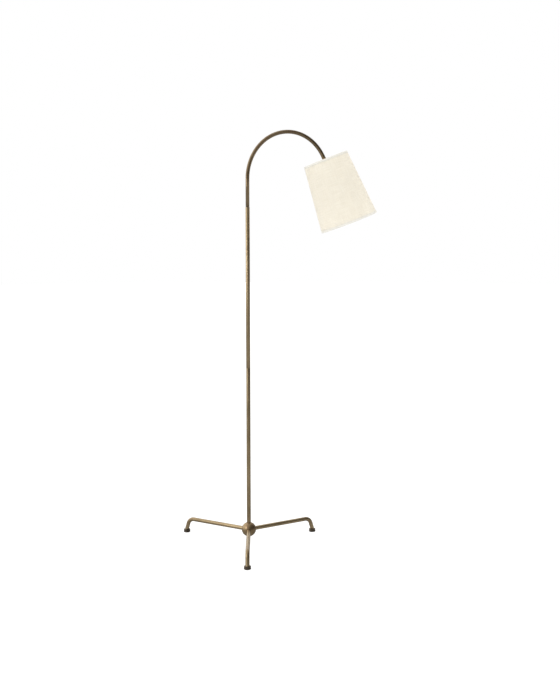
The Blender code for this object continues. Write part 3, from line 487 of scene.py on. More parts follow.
shape = bmesh.new()
in_ball = Matrix.Translation(hub_middle)
bmesh.ops.create_uvsphere(shape, u_segments=96, v_segments=48, radius=HUB_RADIUS,
                          matrix=in_ball @ Matrix.Rotation(HUB_TURN, 4, "Z"))
hub_brass = antique_look("antique_hub", streaks=0.25, copper=0.85, tone=(0.92, 0.88, 0.84))
hub = piece("hub", shape, "base", "aged_brass", hub_brass, "hub_ball")
rod_way = LEG_RADIUS + CLEARANCE
seat = turned(disc_profile(rod_way, beyond, HUB_RADIUS - POLE_SEAT), place=in_ball)
tools = [tooled(hub, "pole_seat", seat)]
for side in SIDES:
    out = feet[side] - AXIS
    lying = Matrix.Rotation(math.atan2(out.y, out.x), 4, "Z") @ Matrix.Rotation(math.pi / 2, 4, "Y")
    socket = turned(disc_profile(rod_way, beyond, LEG_START), place=in_ball @ lying)
    tools.append(tooled(hub, f"{side}_socket", socket))
    under = hub_middle + out.normalized() * GRUB_REACH
    under.z = LEG_HEIGHT
    hole = turned(disc_profile(GRUB_HOLE, 0, -beyond), 0, GRUB_HOLE_STEPS, Matrix.Translation(under))
    tools.append(tooled(hub, f"{side}_grub_hole", hole))
chamber = turned(disc_profile(CHAMBER_RADIUS, CHAMBER_TOP, -beyond), place=in_ball)
tools.append(tooled(hub, "chamber", chamber))
inlet_low, inlet_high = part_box("cord_inlet_bush")
inlet_level = (inlet_low.z + inlet_high.z) / 2
inlet_place = Matrix.Translation((AXIS.x, AXIS.y, inlet_level)) @ Matrix.Rotation(-math.pi / 2, 4, "X")
inlet_start = inlet_low.y - AXIS.y
inlet_end = inlet_high.y - AXIS.y
inlet_face = inlet_end - INLET_FLANGE_THICKNESS
barrel = INLET_BORE + INLET_WALL
profile = [(0, beyond), (INLET_FLANGE + CLEARANCE, beyond),
           (INLET_FLANGE + CLEARANCE, inlet_face - CLEARANCE), (barrel + CLEARANCE, inlet_face - CLEARANCE),
           (barrel + CLEARANCE, INLET_WAY_START), (0, INLET_WAY_START)]
tools.append(tooled(hub, "inlet_way", turned(profile, place=inlet_place)))
apply_tools(hub, tools)

edge = CHAMBER_RADIUS - CLEARANCE
dome = []
for i in range(DOME_STEPS + 1):
    radius = edge * (DOME_STEPS - i) / DOME_STEPS
    dome.append((radius, -math.sqrt(HUB_RADIUS**2 - radius**2)))
lip = dome[0][1] + BOTTOM_CAP_THICKNESS
inside = edge - BOTTOM_CAP_THICKNESS
profile = [(0, lip), (inside, lip), (inside, lip + BOTTOM_CAP_SKIRT), (edge, lip + BOTTOM_CAP_SKIRT), *dome]
piece("hub_underside_cap", turned(profile, FINE_EASE, place=in_ball), "base", "aged_brass", hub_brass,
      "hub_bottom_cap")


def rubber_look():
    """Black rubber with a dull grey bloom."""
    material, tree, shader = surface_of("black_rubber")
    where = add(tree, "TexCoord").outputs["Object"]
    bloom = noise(tree, where, 320, 4, 0.7)
    colour = ramp(tree, bloom, (0.35, (0.018, 0.017, 0.016)), (0.75, (0.052, 0.049, 0.046)))
    wired(tree, shader, colour, spread(tree, bloom, 0.3, 0.7, 0.5, 0.72), noise(tree, where, 1800), 0.00004)
    return material


profile = [(INLET_BORE, inlet_end), (INLET_FLANGE, inlet_end), (INLET_FLANGE, inlet_face),
           (barrel, inlet_face), (barrel, inlet_start), (INLET_BORE, inlet_start)]
piece("inlet_bush", turned(profile, INLET_EASE, place=inlet_place), "base", "inlet_rubber", rubber_look(),
      "cord_inlet_bush")


# Pole. Two drawn brass tubes, antiqued like the rest, that meet at a hairline seam on an inner coupler.
# Their cut ends are slightly eased.

POLE_WALL = 0.0012
POLE_EASE = 0.0004


def tube_profile(outer, bore, foot, top):
    return [(outer, top), (outer, foot), (bore, foot), (bore, top)]


pole_brass = antique_look("antique_pole", streaks=0.42)
for length in ("lower", "upper"):
    low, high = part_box(f"{length}_pole")
    radius = (high.x - low.x) / 2
    place = Matrix.Translation(((low.x + high.x) / 2, (low.y + high.y) / 2, 0))
    shape = turned(tube_profile(radius, radius - POLE_WALL, low.z, high.z), POLE_EASE, place=place)
    piece(f"pole_{length}_tube", shape, "base", "aged_brass", pole_brass, f"{length}_pole")


# Swivel. A turned brass bush in the pole's top carries the arm on a nylon washer. Its sleeve is a push fit
# in the pole, and only its rim shows.

ARM_RADIUS = 0.00715
BUSH_RIM = 0.0022
BUSH_LAND = 0.0014
SPIGOT_WAY = 0.0051

bush_low, bush_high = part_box("swivel_bush")
pole_radius = (pole_high.x - pole_low.x) / 2
rim_foot = bush_high.z - BUSH_RIM
sleeve = pole_radius - POLE_WALL - CLEARANCE
profile = [(SPIGOT_WAY, bush_high.z), (ARM_RADIUS, bush_high.z), (pole_radius, rim_foot + BUSH_LAND),
           (pole_radius, rim_foot), (sleeve, rim_foot), (sleeve, bush_low.z), (SPIGOT_WAY, bush_low.z)]
shape = turned(profile, FINE_EASE, place=Matrix.Translation(AXIS))
piece("swivel_rim", shape, "base", "aged_brass", antique, "swivel_bush")


# Gooseneck arm. One length of smooth brass tube, drawn round an oval former into a shepherd's crook.
# Its outer end runs straight down into the shade.

ARCH_SPAN = 0.1511
ARCH_RISE = 0.1733
ARM_WALL = 0.0012
ARM_END_LEAN = math.radians(26.0)
ARM_TIP = 0.0180  # from the tilt axis back to the tube's cut end
ARCH_STEPS = 72

joints = {joint["name"]: joint for joint in frame["joints"]}
TILT = Vector(joints["head_tilt"]["pos_m"])
arm_low, arm_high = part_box("arm_tube")
arch_centre = arm_high.z - ARM_RADIUS - ARCH_RISE
arch_turn = math.pi - math.atan(math.tan(ARM_END_LEAN) * ARCH_RISE / ARCH_SPAN)
path = [(0, arm_low.z, 0)]
for i in range(ARCH_STEPS + 1):
    angle = arch_turn * i / ARCH_STEPS
    slope = math.atan2(ARCH_SPAN * math.sin(angle), ARCH_RISE * math.cos(angle))
    path.append((ARCH_SPAN * (1 - math.cos(angle)), arch_centre + ARCH_RISE * math.sin(angle), slope))
tip = TILT - AXIS + Vector((-math.sin(ARM_END_LEAN), 0, math.cos(ARM_END_LEAN))) * ARM_TIP
path.append((tip.x, tip.z, math.pi - ARM_END_LEAN))
shape = bent_tube(path, ARM_RADIUS, ends=False)
bmesh.ops.transform(shape, matrix=Matrix.Translation(AXIS), verts=shape.verts)
arm_brass = antique_look("antique_arm", follows="straight", streaks=0.22, copper=0.6,
                         tone=(0.70, 0.68, 0.69))
gooseneck = piece("gooseneck", shape, "arm", "aged_brass", arm_brass, "arm_tube")
wall = gooseneck.modifiers.new("wall", "SOLIDIFY")
wall.thickness = ARM_WALL
wall.offset = -1


# Tilt knuckle. Two half drums turn on one bolt, tight enough to hold the head where it is put.
# The upper half is screwed to the arm and the lower one to the socket's cap.

EASE = 0.0003
DRUM_RADIUS = 0.0110
DRUM_WIDTH = 0.0095
DRUM_EASE = 0.0004
DISH_RADIUS = 0.0056
DISH_DEPTH = 0.0008
NECK_RADIUS = 0.0064
NECK_END = 0.0177
NECK_WAIST = 0.0008  # in from the neck
NECK_ROOT = 0.0075  # inside the drum
STUB_RADIUS = 0.0046
STUB_END = 0.0272
STUB_EASE = 0.0005
HEAD_LEAN = math.radians(21.06)
HEAD = Matrix.Translation(TILT) @ Matrix.Rotation(-HEAD_LEAN, 4, "Y")
ARM_END = Matrix.Translation(TILT) @ Matrix.Rotation(-ARM_END_LEAN, 4, "Y")
ACROSS = Matrix.Rotation(-math.pi / 2, 4, "X")  # turns +Z to +Y


def knuckle_half(name, place, body, node):
    """A dished half drum with a flared neck and a threaded stub."""
    face = -CLEARANCE / 2
    back = -DRUM_WIDTH - CLEARANCE / 2
    drum = [(0, face), *edge_of(DRUM_RADIUS, face, (DRUM_EASE, 0), (0, -DRUM_EASE)),
            *edge_of(DRUM_RADIUS, back, (0, 0.0022), (0.0010, 0.0006), (0.0030, 0)),
            *edge_of(DISH_RADIUS, back, (0, 0), (0.0006, DISH_DEPTH)), (0, back + DISH_DEPTH)]
    made = piece(name, turned(drum, EASE, 64, place @ ACROSS), body, "aged_brass", antique, node)
    neck = [(0, STUB_END), *edge_of(STUB_RADIUS, STUB_END, (STUB_EASE, 0), (0, -STUB_EASE)),
            (STUB_RADIUS, NECK_END),
            *edge_of(NECK_RADIUS, NECK_END, (0, 0), (0, -0.0028), (NECK_WAIST, -0.0040)),
            (NECK_RADIUS - NECK_WAIST, NECK_ROOT), (0, NECK_ROOT)]
    stem = tooled(made, name + "_stem", turned(neck, EASE, 48, place), "UNION")
    room = turned(disc_profile(DRUM_RADIUS + CLEARANCE, 2 * DRUM_WIDTH, face), 0, 64, place @ ACROSS)
    other_half = tooled(made, name + "_other_half", room)
    apply_tools(made, [stem, other_half])


knuckle_half("knuckle_arm_half", ARM_END, "arm", "knuckle_upper")
knuckle_half("knuckle_head_half", HEAD @ Matrix.Rotation(math.pi, 4, "X"), "head", "knuckle_lower")


def plated_look(name, colour, low=0.24, high=0.42):
    """Plated or turned metal with fine tool marks and a faint bloom."""
    material, tree, shader = surface_of(name)
    where = add(tree, "TexCoord").outputs["Object"]
    bloom = noise(tree, where, 160, 4, 0.7)
    marks = noise(tree, placed(tree, where, (1, 1, 6)), 900, 2)
    pale = [min(1.0, channel * 1.12) for channel in colour]
    deep = [channel * 0.84 for channel in colour]
    tint = ramp(tree, bloom, (0.3, deep), (0.55, colour), (0.8, pale))
    wired(tree, shader, tint, spread(tree, bloom, 0.3, 0.7, low, high), marks, 0.00003, metallic=1.0)
    return material


BRASS_COLOUR = (0.60, 0.46, 0.22)
BOLT_SHANK = 0.0020
BOLT_HEAD = 0.0042
BOLT_RECESS = 0.0013  # its radius and its depth
BOLT_CROWN = 0.0018

zinc = plated_look("zinc_plate", (0.50, 0.50, 0.485), 0.30, 0.46)
bright = plated_look("turned_brass", BRASS_COLOUR)
head_face = -DRUM_WIDTH - CLEARANCE * 1.5
bolt_low, bolt_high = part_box("knuckle_bolt")
bolt_end = bolt_high.y - TILT.y
bolt_start = bolt_low.y - TILT.y
profile = [(0, bolt_end), (BOLT_SHANK, bolt_end), (BOLT_SHANK, head_face),
           *edge_of(BOLT_HEAD, head_face, (0, 0), (0, -0.0008), (0.0009, -0.0019)),
           (BOLT_CROWN, bolt_start), (BOLT_RECESS, bolt_start),
           (BOLT_RECESS, bolt_start + BOLT_RECESS), (0, bolt_start + BOLT_RECESS)]
piece("knuckle_screw", turned(profile, FINE_EASE, 32, ARM_END @ ACROSS), "arm", "zinc_steel", zinc,
      "knuckle_bolt")

RIB_REACH = 0.0004  # how far in from the widest part the ribs still bite


def knurled(profile, ribs, depth, place, soften):
    """A turned solid whose widest faces carry ribs along its axis."""
    shape = turned(profile, soften, ribs * 4)
    widest = max(radius for radius, height in profile)
    for vertex in shape.verts:
        reach = math.hypot(vertex.co.x, vertex.co.y)
        if reach > widest - RIB_REACH:
            angle = math.atan2(vertex.co.y, vertex.co.x)
            share = 1 - depth / reach * (0.5 - 0.5 * math.cos(ribs * angle))
            vertex.co.x *= share
            vertex.co.y *= share
    bmesh.ops.transform(shape, matrix=place, verts=shape.verts)
    return shape


NUT_BORE = 0.0023
NUT_BOSS = 0.0040
NUT_BOSS_RISE = 0.0006
NUT_RIBS = 28
NUT_RIB_DEPTH = 0.0003

nut_low, nut_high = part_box("knuckle_thumb_nut")
nut_radius = (nut_high.z - nut_low.z) / 2
nut_foot = nut_low.y - TILT.y
nut_top = nut_high.y - TILT.y
nut_face = nut_top - NUT_BOSS_RISE
profile = [(NUT_BORE, nut_top), (NUT_BOSS - 0.0004, nut_top), (NUT_BOSS, nut_face),
           *edge_of(nut_radius, nut_face, (0.0007, 0), (0, -0.0006)),
           *edge_of(nut_radius, nut_foot, (0, 0.0008), (0.0007, 0)), (NUT_BORE, nut_foot)]
shape = knurled(profile, NUT_RIBS, NUT_RIB_DEPTH, ARM_END @ ACROSS, FINE_EASE)
piece("thumb_nut", shape, "arm", "bright_brass", bright, "knuckle_thumb_nut")


# Socket. A spun brass cap and shell hold the porcelain, with a turned bead where they meet, and the
# ribbed black knob stands out of the cap toward the front.

SOCKET_STEPS = 72
SOCKET_RADIUS = 0.0185
SOCKET_WALL = 0.0010
SHELL_EASE = 0.0001
STUB_HOLE = 0.0049
CAP_TOP = 0.0180  # down from the tilt axis, as the next two
CAP_FOOT = 0.0460
SHELL_FOOT = 0.0883
CAP_NECK = 0.0080
CAP_COLLAR = 0.0012
CAP_SHOULDER = 0.0030
SOCKET_LINE = 0.0005, 0.0016, 0.0008  # its depth, and its width at its mouth and its floor
CAP_LINE_RISE = 0.0038
SHELL_LINE_DROP = 0.0028
RING_THREADS = 12
RING_THREAD_START = 0.022
RING_THREAD_PITCH = 0.0016
RING_THREAD_DEPTH = 0.0004

dome = SOCKET_RADIUS - CAP_NECK
shoulder = -CAP_TOP - CAP_SHOULDER


def quarter(centre_r, centre_z, radius, start, end, steps=10):
    """A round stretch of a profile, from one angle to another, in degrees."""
    angles = [math.radians(start + (end - start) * i / steps) for i in range(steps + 1)]
    return [(centre_r + radius * math.cos(a), centre_z + radius * math.sin(a)) for a in angles]


profile = [(STUB_HOLE, -CAP_TOP), (CAP_NECK, -CAP_TOP), (CAP_NECK, -CAP_TOP - CAP_COLLAR)]
profile += quarter(CAP_NECK, shoulder - dome, dome, 88, 0)
profile += line_round(SOCKET_RADIUS, -CAP_FOOT + CAP_LINE_RISE, *SOCKET_LINE)
profile += [(SOCKET_RADIUS, -CAP_FOOT), (SOCKET_RADIUS - SOCKET_WALL, -CAP_FOOT)]
profile += quarter(CAP_NECK, shoulder - dome, dome - SOCKET_WALL, 0, 88)
profile += [(STUB_HOLE, shoulder - SOCKET_WALL)]
socket_brass = antique_look("antique_socket", streaks=0.5, tone=(1.1, 1.1, 1.1))
piece("socket_dome", turned(profile, FINE_EASE, SOCKET_STEPS, HEAD), "head", "bright_brass", socket_brass,
      "socket_cap")
top = -CAP_FOOT - CLEARANCE
profile = [(SOCKET_RADIUS, top), *line_round(SOCKET_RADIUS, top - SHELL_LINE_DROP, *SOCKET_LINE)]
for i in range(RING_THREADS):
    level = top - RING_THREAD_START - RING_THREAD_PITCH * i
    profile += [(SOCKET_RADIUS, level), (SOCKET_RADIUS - RING_THREAD_DEPTH, level - RING_THREAD_PITCH / 2)]
profile += [(SOCKET_RADIUS, -SHELL_FOOT), (SOCKET_RADIUS - SOCKET_WALL, -SHELL_FOOT),
            (SOCKET_RADIUS - SOCKET_WALL, top)]
piece("socket_sleeve", turned(profile, SHELL_EASE, SOCKET_STEPS, HEAD), "head", "bright_brass", socket_brass,
      "socket_shell")


def moulded_look(name, colour):
    """Moulded plastic with a faint grain and rubbed high spots."""
    material, tree, shader = surface_of(name)
    where = add(tree, "TexCoord").outputs["Object"]
    cloud = noise(tree, where, 90, 3)
    pale = [channel * 1.9 for channel in colour]
    tint = ramp(tree, cloud, (0.3, colour), (0.8, pale))
    rough = spread(tree, cloud, 0.3, 0.7, 0.28, 0.42)
    wired(tree, shader, tint, rough, noise(tree, where, 2400, 2), 0.00003,
          coat_weight=0.15, coat_roughness=0.2)
    return material


KNOB_RADIUS = 0.0062
KNOB_NEAR = 0.0215  # from the socket's axis, as the next two
KNOB_FAR = 0.0335
KNOB_ROOT = 0.0076
KNOB_SHAFT = 0.0018
KNOB_RIBS = 18
KNOB_RIB_DEPTH = 0.0005
KNOB_EASE = 0.0004
RING_RADIUS = 0.0225
RING_BORE = 0.0188
RING_TOP = -0.0604
RING_FOOT = -0.0664
RING_RIBS = 36
RING_RIB_DEPTH = 0.0004

black = moulded_look("moulded_black", (0.028, 0.024, 0.021))
knob_place = Matrix.Translation(Vector(joints["knob_turn"]["pos_m"])) @ Matrix.Rotation(math.pi / 2, 4, "X")
profile = [(0, KNOB_FAR), *edge_of(KNOB_RADIUS, KNOB_FAR, (0.0020, 0), (0.0006, -0.0008), (0, -0.0024)),
           *edge_of(KNOB_RADIUS, KNOB_NEAR, (0, 0.0006), (0.0006, 0)),
           (KNOB_SHAFT, KNOB_NEAR), (KNOB_SHAFT, KNOB_ROOT), (0, KNOB_ROOT)]
shape = knurled(profile, KNOB_RIBS, KNOB_RIB_DEPTH, knob_place, KNOB_EASE)
piece("turn_knob", shape, "knob", "moulded_black", black, "switch_knob")

profile = [(RING_BORE, RING_TOP),
           *edge_of(RING_RADIUS, RING_TOP, (0.0013, 0), (0.0003, -0.0008), (0, -0.0016)),
           *edge_of(RING_RADIUS, RING_FOOT, (0, 0.0008), (0.0007, 0)), (RING_BORE, RING_FOOT)]
shape = knurled(profile, RING_RIBS, RING_RIB_DEPTH, HEAD, EASE)
piece("ring_nut", shape, "head", "moulded_black", black, "shade_ring_nut")


# Bulb. A frosted glass globe, blown thin, with its neck cemented into a plated screw base. The base's
# thread is rolled, and a contact stands at its tip.

GLASS_RADIUS = 0.0300
GLASS_WALL = 0.0010
GLOBE_START = 42  # degrees above the globe's middle, where the neck ends
BASE_TOP = 0.0599
BASE_FOOT = 0.0829
GLASS_END = BASE_FOOT + 0.0790
NECK_LINE = ((0, -0.0050), (0, 0.0003), (0.0006, 0.0040), (0.0034, 0.0140), (0.0078, 0.0235))
THREAD_RADIUS = 0.0131
THREAD_DEPTH = 0.0006
BASE_THREADS = 5
BASE_THREAD_START = 0.0052
BASE_THREAD_PITCH = 0.0034
BASE_WALL = 0.0008
CONTACT_RADIUS = 0.0050

neck = THREAD_RADIUS - 0.0011
centre = -GLASS_END + GLASS_RADIUS


def globe_wall(radius, neck):
    """One face of the glass, from the neck (out and down by NECK_LINE) round to its end on the axis."""
    wall = [(neck + outward, -BASE_FOOT - downward) for outward, downward in NECK_LINE]
    return wall + quarter(0, centre, radius, GLOBE_START, -90, 28)[:-1] + [(0, centre - radius)]


def frosted_look():
    """Glass etched white, that still lets a third of the light through."""
    material, tree, shader = surface_of("frosted_glass")
    where = add(tree, "TexCoord").outputs["Object"]
    frost = noise(tree, where, 1400, 4, 0.7)
    haze = noise(tree, where, 60, 3)
    colour = ramp(tree, haze, (0.3, (0.90, 0.88, 0.83)), (0.75, (0.97, 0.96, 0.93)))
    rough = spread(tree, frost, 0.3, 0.7, 0.38, 0.55)
    wired(tree, shader, colour, rough, frost, 0.00002, transmission_weight=0.35)
    shader.inputs["IOR"].default_value = 1.45
    return material


inside = globe_wall(GLASS_RADIUS - GLASS_WALL, neck - GLASS_WALL)
outside = globe_wall(GLASS_RADIUS, neck)
piece("bulb_globe", turned(inside[::-1] + outside, 0, 72, HEAD), "head", "bulb_glass", frosted_look(),
      "bulb_glass", sharp=60)
profile = [(0, -BASE_TOP), *edge_of(CONTACT_RADIUS, -BASE_TOP, (0.0005, 0), (0, -0.0010)),
           *edge_of(THREAD_RADIUS, -BASE_TOP, (0.0020, -0.0030), (0.0004, -0.0046))]
for i in range(BASE_THREADS):
    level = -BASE_TOP - BASE_THREAD_START - BASE_THREAD_PITCH * i
    profile += [(THREAD_RADIUS - THREAD_DEPTH, level), (THREAD_RADIUS, level - BASE_THREAD_PITCH / 2)]
profile += [(THREAD_RADIUS, -BASE_FOOT), (THREAD_RADIUS - BASE_WALL, -BASE_FOOT),
            (THREAD_RADIUS - BASE_WALL - THREAD_DEPTH, -BASE_TOP - 0.0060), (0, -BASE_TOP - 0.0040)]
piece("bulb_screw_base", turned(profile, EASE, 48, HEAD), "head", "zinc_steel", zinc, "bulb_base")


# Shade. Natural linen laminated to a thin stiff liner and rolled into a cone, lapped at the back.
# A folded tape of the same linen binds each rim over its wire.

SHADE_TOP = 0.0500  # above the tilt axis, along the head's axis
SHADE_FOOT = -0.2047
TOP_RADIUS = 0.0854
FOOT_RADIUS = 0.1105
LINEN_THICKNESS = 0.0012
TAPE_WIDTH = 0.0080
TAPE_THICKNESS = 0.0005
TAPE_OUT = 0.0008
TAPE_ROUND = 0.0004
LAP_WIDTH = 0.0100
LAP_THICKNESS = 0.0006
LAP_PLACE = math.radians(172)  # round the shade, where the lap starts
LAP_STEPS = 4
LAP_GAP = 0.0002  # to the tapes
YARN_PITCH = 0.0011
SHADE_STEPS = 160
SHADE_RISE_STEPS = 24


def linen_radius(height):
    return TOP_RADIUS + (FOOT_RADIUS - TOP_RADIUS) * (SHADE_TOP - height) / (SHADE_TOP - SHADE_FOOT)


def cloth_map(shape):
    """Lays out each face in metres: round the shade at its middle radius, and down its axis."""
    layer = shape.loops.layers.uv.new("cloth")
    back = HEAD.inverted()
    middle = (TOP_RADIUS + FOOT_RADIUS) / 2
    for face in shape.faces:
        mid = back @ face.calc_center_median()
        mean = math.atan2(mid.y, mid.x)
        for loop in face.loops:
            spot = back @ loop.vert.co
            angle = math.atan2(spot.y, spot.x)
            angle += math.tau * round((mean - angle) / math.tau)
            loop[layer].uv = (angle * middle, spot.z)


def linen_look(name, light, deep, letting_through):
    """Plain-weave linen with slubs. It lets some light through from behind."""
    material, tree, shader = surface_of(name)
    where = add(tree, "UVMap", uv_map="cloth").outputs["UV"]

    def yarns(direction):
        wave = {"Vector": where, "Scale": 1 / YARN_PITCH / math.tau * 2, "Distortion": 1.2, "Detail": 2.0,
                "Detail Scale": 1.5}
        return add(tree, "TexWave", wave, bands_direction=direction).outputs["Fac"]

    across = noise(tree, placed(tree, where, (1.0, 0.05, 1.0)), 420, 3, 0.6)
    along = noise(tree, placed(tree, where, (0.05, 1.0, 1.0), (0.4, 0.2, 0)), 420, 3, 0.6)
    slubs = add(tree, "Math", {0: across, 1: along}).outputs[0]
    cloth = add(tree, "Math", {0: yarns("X"), 1: yarns("Y")}).outputs[0]
    height = add(tree, "Math", {0: cloth, 1: slubs}).outputs[0]
    cloud = noise(tree, where, 9, 3)
    colour = ramp(tree, spread(tree, slubs, 0.75, 1.25, 0, 1), (0.2, deep), (0.8, light))
    # The dips of the weave are darkened toward a deeper tone: painted shade between the yarns.
    colour = mixed(tree, spread(tree, cloth, 0.2, 1.6, 0.10, 0), colour, (0.70, 0.65, 0.55))
    colour = mixed(tree, spread(tree, cloud, 0.35, 0.7, 0, 0.15), colour, (0.91, 0.85, 0.74))
    wired(tree, shader, colour, bump=height, bump_depth=0.00012, sheen_weight=0.2, sheen_roughness=0.5)
    shader.inputs["Roughness"].default_value = 0.9
    shader.inputs["Specular IOR Level"].default_value = 0.2
    through = add(tree, "BsdfTranslucent", {"Color": colour})
    both = add(tree, "MixShader", {0: letting_through, 1: shader.outputs[0], 2: through.outputs[0]})
    tree.links.new(both.outputs[0], tree.nodes["Material Output"].inputs["Surface"])
    return material


linen = linen_look("natural_linen", (0.95, 0.922, 0.845), (0.895, 0.862, 0.775), 0.38)
# The tape's linen is greyer and darker than the shade's: partly the tape's own tone, partly painted shade
# for the dark line along each rim.
tape_linen_with_rim_shade = linen_look("linen_tape", (0.86, 0.85, 0.80), (0.80, 0.785, 0.72), 0.15)


def on_head(shape):
    """Takes a shape from the origin to the head, and lays out its cloth."""
    facing(shape)
    bmesh.ops.transform(shape, matrix=HEAD, verts=shape.verts)
    cloth_map(shape)
    return shape


def shade_wall(top, foot, outward, inward, angle=math.tau, start=0.0, steps=SHADE_STEPS):
    """A slice of the cone's wall, between two offsets from the linen's outer face."""
    shape = bmesh.new()
    levels = [top + (foot - top) * i / SHADE_RISE_STEPS for i in range(SHADE_RISE_STEPS + 1)]
    outer = [(linen_radius(level) + outward, level) for level in levels]
    inner = [(linen_radius(level) - inward, level) for level in reversed(levels)]
    corners = [shape.verts.new((radius, 0, level)) for radius, level in outer + inner]
    edges = [shape.edges.new(pair) for pair in zip(corners, corners[1:] + corners[:1])]
    bmesh.ops.rotate(shape, verts=corners, cent=(0, 0, 0), matrix=Matrix.Rotation(start, 3, "Z"))
    whole = angle == math.tau
    if not whole:
        bmesh.ops.holes_fill(shape, edges=edges, sides=0)
    bmesh.ops.spin(shape, geom=corners + edges, cent=(0, 0, 0), axis=(0, 0, 1), angle=angle, steps=steps,
                   use_merge=whole, use_duplicate=False)
    if not whole:
        bmesh.ops.holes_fill(shape, edges=shape.edges, sides=0)
    return on_head(shape)


shade = piece("shade_linen", shade_wall(SHADE_TOP - TAPE_OUT, SHADE_FOOT + TAPE_OUT, 0, LINEN_THICKNESS),
              "head", "linen", linen, "linen_shade")


def rim_tape(name, edge, inward, node):
    """A folded tape over one rim, its two legs outside and inside the linen."""
    shape = bmesh.new()
    deep = edge + inward * TAPE_WIDTH
    under = edge + inward * TAPE_THICKNESS
    outer = TAPE_OUT
    seat = CLEARANCE
    within = LINEN_THICKNESS + CLEARANCE
    far = within + TAPE_THICKNESS
    loop = [(edge, outer), (deep, outer), (deep, seat), (under, seat), (under, -within), (deep, -within),
            (deep, -far), (edge, -far)]
    corners = [shape.verts.new((linen_radius(level) + offset, 0, level)) for level, offset in loop]
    for pair in zip(corners, corners[1:] + corners[:1]):
        shape.edges.new(pair)
    rounded(shape, [corners[0], corners[1], corners[-1], corners[-2]], TAPE_ROUND)
    spun(shape, SHADE_STEPS)
    return piece(name, on_head(shape), "head", "linen_tape", tape_linen_with_rim_shade, node)


top_hem = rim_tape("shade_top_hem", SHADE_TOP, -1, "top_rim_tape")
bottom_hem = rim_tape("shade_bottom_hem", SHADE_FOOT, 1, "bottom_rim_tape")
lap_shape = shade_wall(SHADE_TOP - TAPE_WIDTH - LAP_GAP, SHADE_FOOT + TAPE_WIDTH + LAP_GAP,
                       LAP_THICKNESS, 0, LAP_WIDTH / TOP_RADIUS, LAP_PLACE, LAP_STEPS)
lap = piece("shade_lap_seam", lap_shape, "head", "linen", linen)


# Shade frame. A welded wire fitter hangs the shade: a rim wire, three spokes and a flat ring that the
# ring nut clamps to the socket. A second wire keeps the bottom rim round. All of it is zinc plated.

WIRE = 0.0015  # radius
SPOKE = 0.0013  # radius
RIM_SETBACK = 0.0040
FITTER_BORE = 0.0188
FITTER_WIDTH = 0.0055
FITTER_TOP = -0.0583
FITTER_FOOT = -0.0601
SPOKES = 3
SPOKE_START = 90  # degrees
RIM_WELD = 1.35 * SPOKE
HUB_WELD = 1.2 * SPOKE
RING_STEPS = 120

wire_inset = LINEN_THICKNESS + TAPE_OUT + CLEARANCE + WIRE + CLEARANCE


def wire_ring(level):
    middle = linen_radius(level) - wire_inset
    return turned(quarter(middle, level, WIRE, 360, 0, 16)[:-1], 0, RING_STEPS, HEAD)


rim_level = SHADE_TOP - RIM_SETBACK
fitter = wire_ring(rim_level)
profile = tube_profile(FITTER_BORE + FITTER_WIDTH, FITTER_BORE, FITTER_FOOT, FITTER_TOP)
flat_ring = turned(profile, EASE, 72, HEAD)
ring_mesh = bpy.data.meshes.new("flat_ring")
flat_ring.to_mesh(ring_mesh)
flat_ring.free()
fitter.from_mesh(ring_mesh)
bpy.data.meshes.remove(ring_mesh)
rim_reach = linen_radius(rim_level) - wire_inset
hub_reach = FITTER_BORE + FITTER_WIDTH / 2 + SPOKE / 2
hub_level = (FITTER_TOP + FITTER_FOOT) / 2
run = rim_reach - hub_reach
rise = rim_level - hub_level
for i in range(SPOKES):
    turn = HEAD @ Matrix.Rotation(math.radians(360 / SPOKES * i + SPOKE_START), 4, "Z")
    lean = Matrix.Rotation(math.atan2(run, rise), 4, "Y")
    middle = Matrix.Translation(((rim_reach + hub_reach) / 2, 0, (rim_level + hub_level) / 2))
    bmesh.ops.create_cone(fitter, cap_ends=True, segments=20, radius1=SPOKE, radius2=SPOKE,
                          depth=math.hypot(run, rise), matrix=turn @ middle @ lean)
    for reach, level, weld in ((rim_reach, rim_level, RIM_WELD), (hub_reach, hub_level, HUB_WELD)):
        bmesh.ops.create_icosphere(fitter, subdivisions=3, radius=weld,
                                   matrix=turn @ Matrix.Translation((reach, 0, level)))
piece("wire_fitter", fitter, "head", "zinc_steel", zinc, "shade_fitter")
piece("bottom_wire", wire_ring(SHADE_FOOT + RIM_SETBACK), "head", "zinc_steel", zinc, "bottom_wire_ring")


# Inner parts. Zinc plated nuts and washers and turned brass inserts, screwed together inside the tubes, with
# the moulded switch, the porcelain insulator and its contacts inside the socket, and sleeved copper leads.
# All of them keep the frame's own shapes.

INNER_THREAD = 0.0009  # from one turn to the next


def threaded_look(name, colour):
    """Turned metal with a fine screw thread along it."""
    material, tree, shader = surface_of(name)
    where = add(tree, "TexCoord").outputs["Object"]
    wave = {"Vector": where, "Scale": math.pi / INNER_THREAD / 10}
    thread = add(tree, "TexWave", wave, bands_direction="Z").outputs["Fac"]
    bloom = noise(tree, where, 220, 4, 0.7)
    deep = [channel * 0.5 for channel in colour]
    tint = ramp(tree, bloom, (0.3, deep), (0.7, colour))
    # The thread's grooves are darkened toward the deep tone: painted shade in the grooves.
    tint = mixed(tree, spread(tree, thread, 0, 0.4, 0.5, 0), tint, deep)
    rough = spread(tree, bloom, 0.3, 0.7, 0.28, 0.45)
    wired(tree, shader, tint, rough, thread, 0.00015, metallic=1.0)
    return material


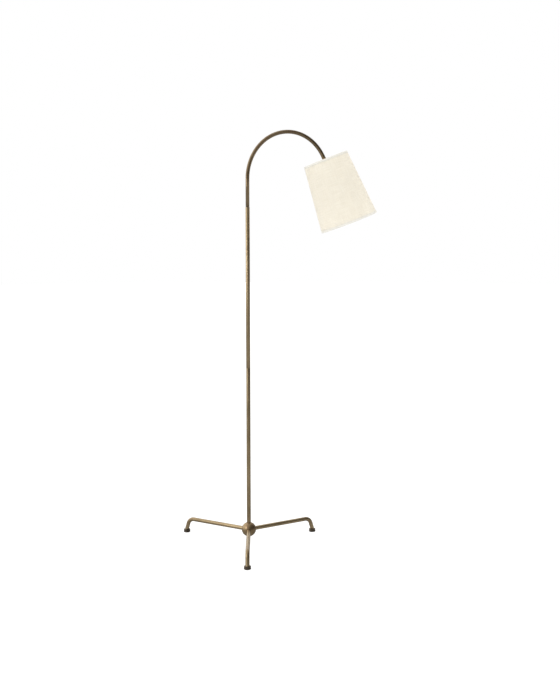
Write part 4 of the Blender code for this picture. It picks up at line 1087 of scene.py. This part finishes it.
def porcelain_look():
    """White porcelain under a clear glaze, with a few dark specks."""
    material, tree, shader = surface_of("glazed_porcelain")
    where = add(tree, "TexCoord").outputs["Object"]
    cloud = noise(tree, where, 70, 3)
    specks = noise(tree, where, 800, 1)
    colour = ramp(tree, cloud, (0.3, (0.80, 0.78, 0.73)), (0.7, (0.88, 0.87, 0.83)))
    colour = mixed(tree, spread(tree, specks, 0.72, 0.78, 0, 0.6), colour, (0.45, 0.40, 0.33))
    wired(tree, shader, colour, spread(tree, cloud, 0.3, 0.7, 0.12, 0.25), cloud, 0.0002, coat_weight=0.5)
    return material


def lead_look():
    """Clear gold sleeving over twisted copper."""
    material, tree, shader = surface_of("gold_lead")
    where = add(tree, "TexCoord").outputs["Object"]
    coils = {"Vector": placed(tree, where, (1, 1, 0.5)), "Scale": 120, "Distortion": 0.5}
    twist = add(tree, "TexWave", coils, bands_direction="DIAGONAL").outputs["Fac"]
    colour = ramp(tree, twist, (0.2, (0.34, 0.22, 0.06)), (0.8, (0.66, 0.50, 0.20)))
    wired(tree, shader, colour, spread(tree, twist, 0, 1, 0.25, 0.4), twist, 0.0001, coat_weight=0.3)
    return material


threaded_zinc = threaded_look("threaded_zinc", (0.55, 0.55, 0.53))
threaded_brass = threaded_look("threaded_brass", BRASS_COLOUR)
nylon = moulded_look("brown_nylon", (0.055, 0.045, 0.036))
INNER = {
    threaded_zinc: ["pole_nipple"] + [f"{side}_leg_grub_screw" for side in SIDES],
    threaded_brass: ["pole_foot_insert", "arm_end_insert", "arm_spigot", "screw_shell"],
    zinc: ["hub_washer", "hub_lock_nut", "swivel_spring_washer", "swivel_nut", "knuckle_spring_washer"],
    bright: ["pole_coupler", "centre_contact"],
    nylon: ["swivel_washer"],
    black: ["switch_body"],
    porcelain_look(): ["socket_insulator"],
    lead_look(): ["pole_lead", "arm_lead"],
}
for material, names in INNER.items():
    for name in names:
        mesh = frame["nodes"][name].data
        mesh.materials.clear()
        mesh.materials.append(material)
        mesh.shade_smooth()
        mesh.set_sharp_from_angle(angle=math.radians(30))
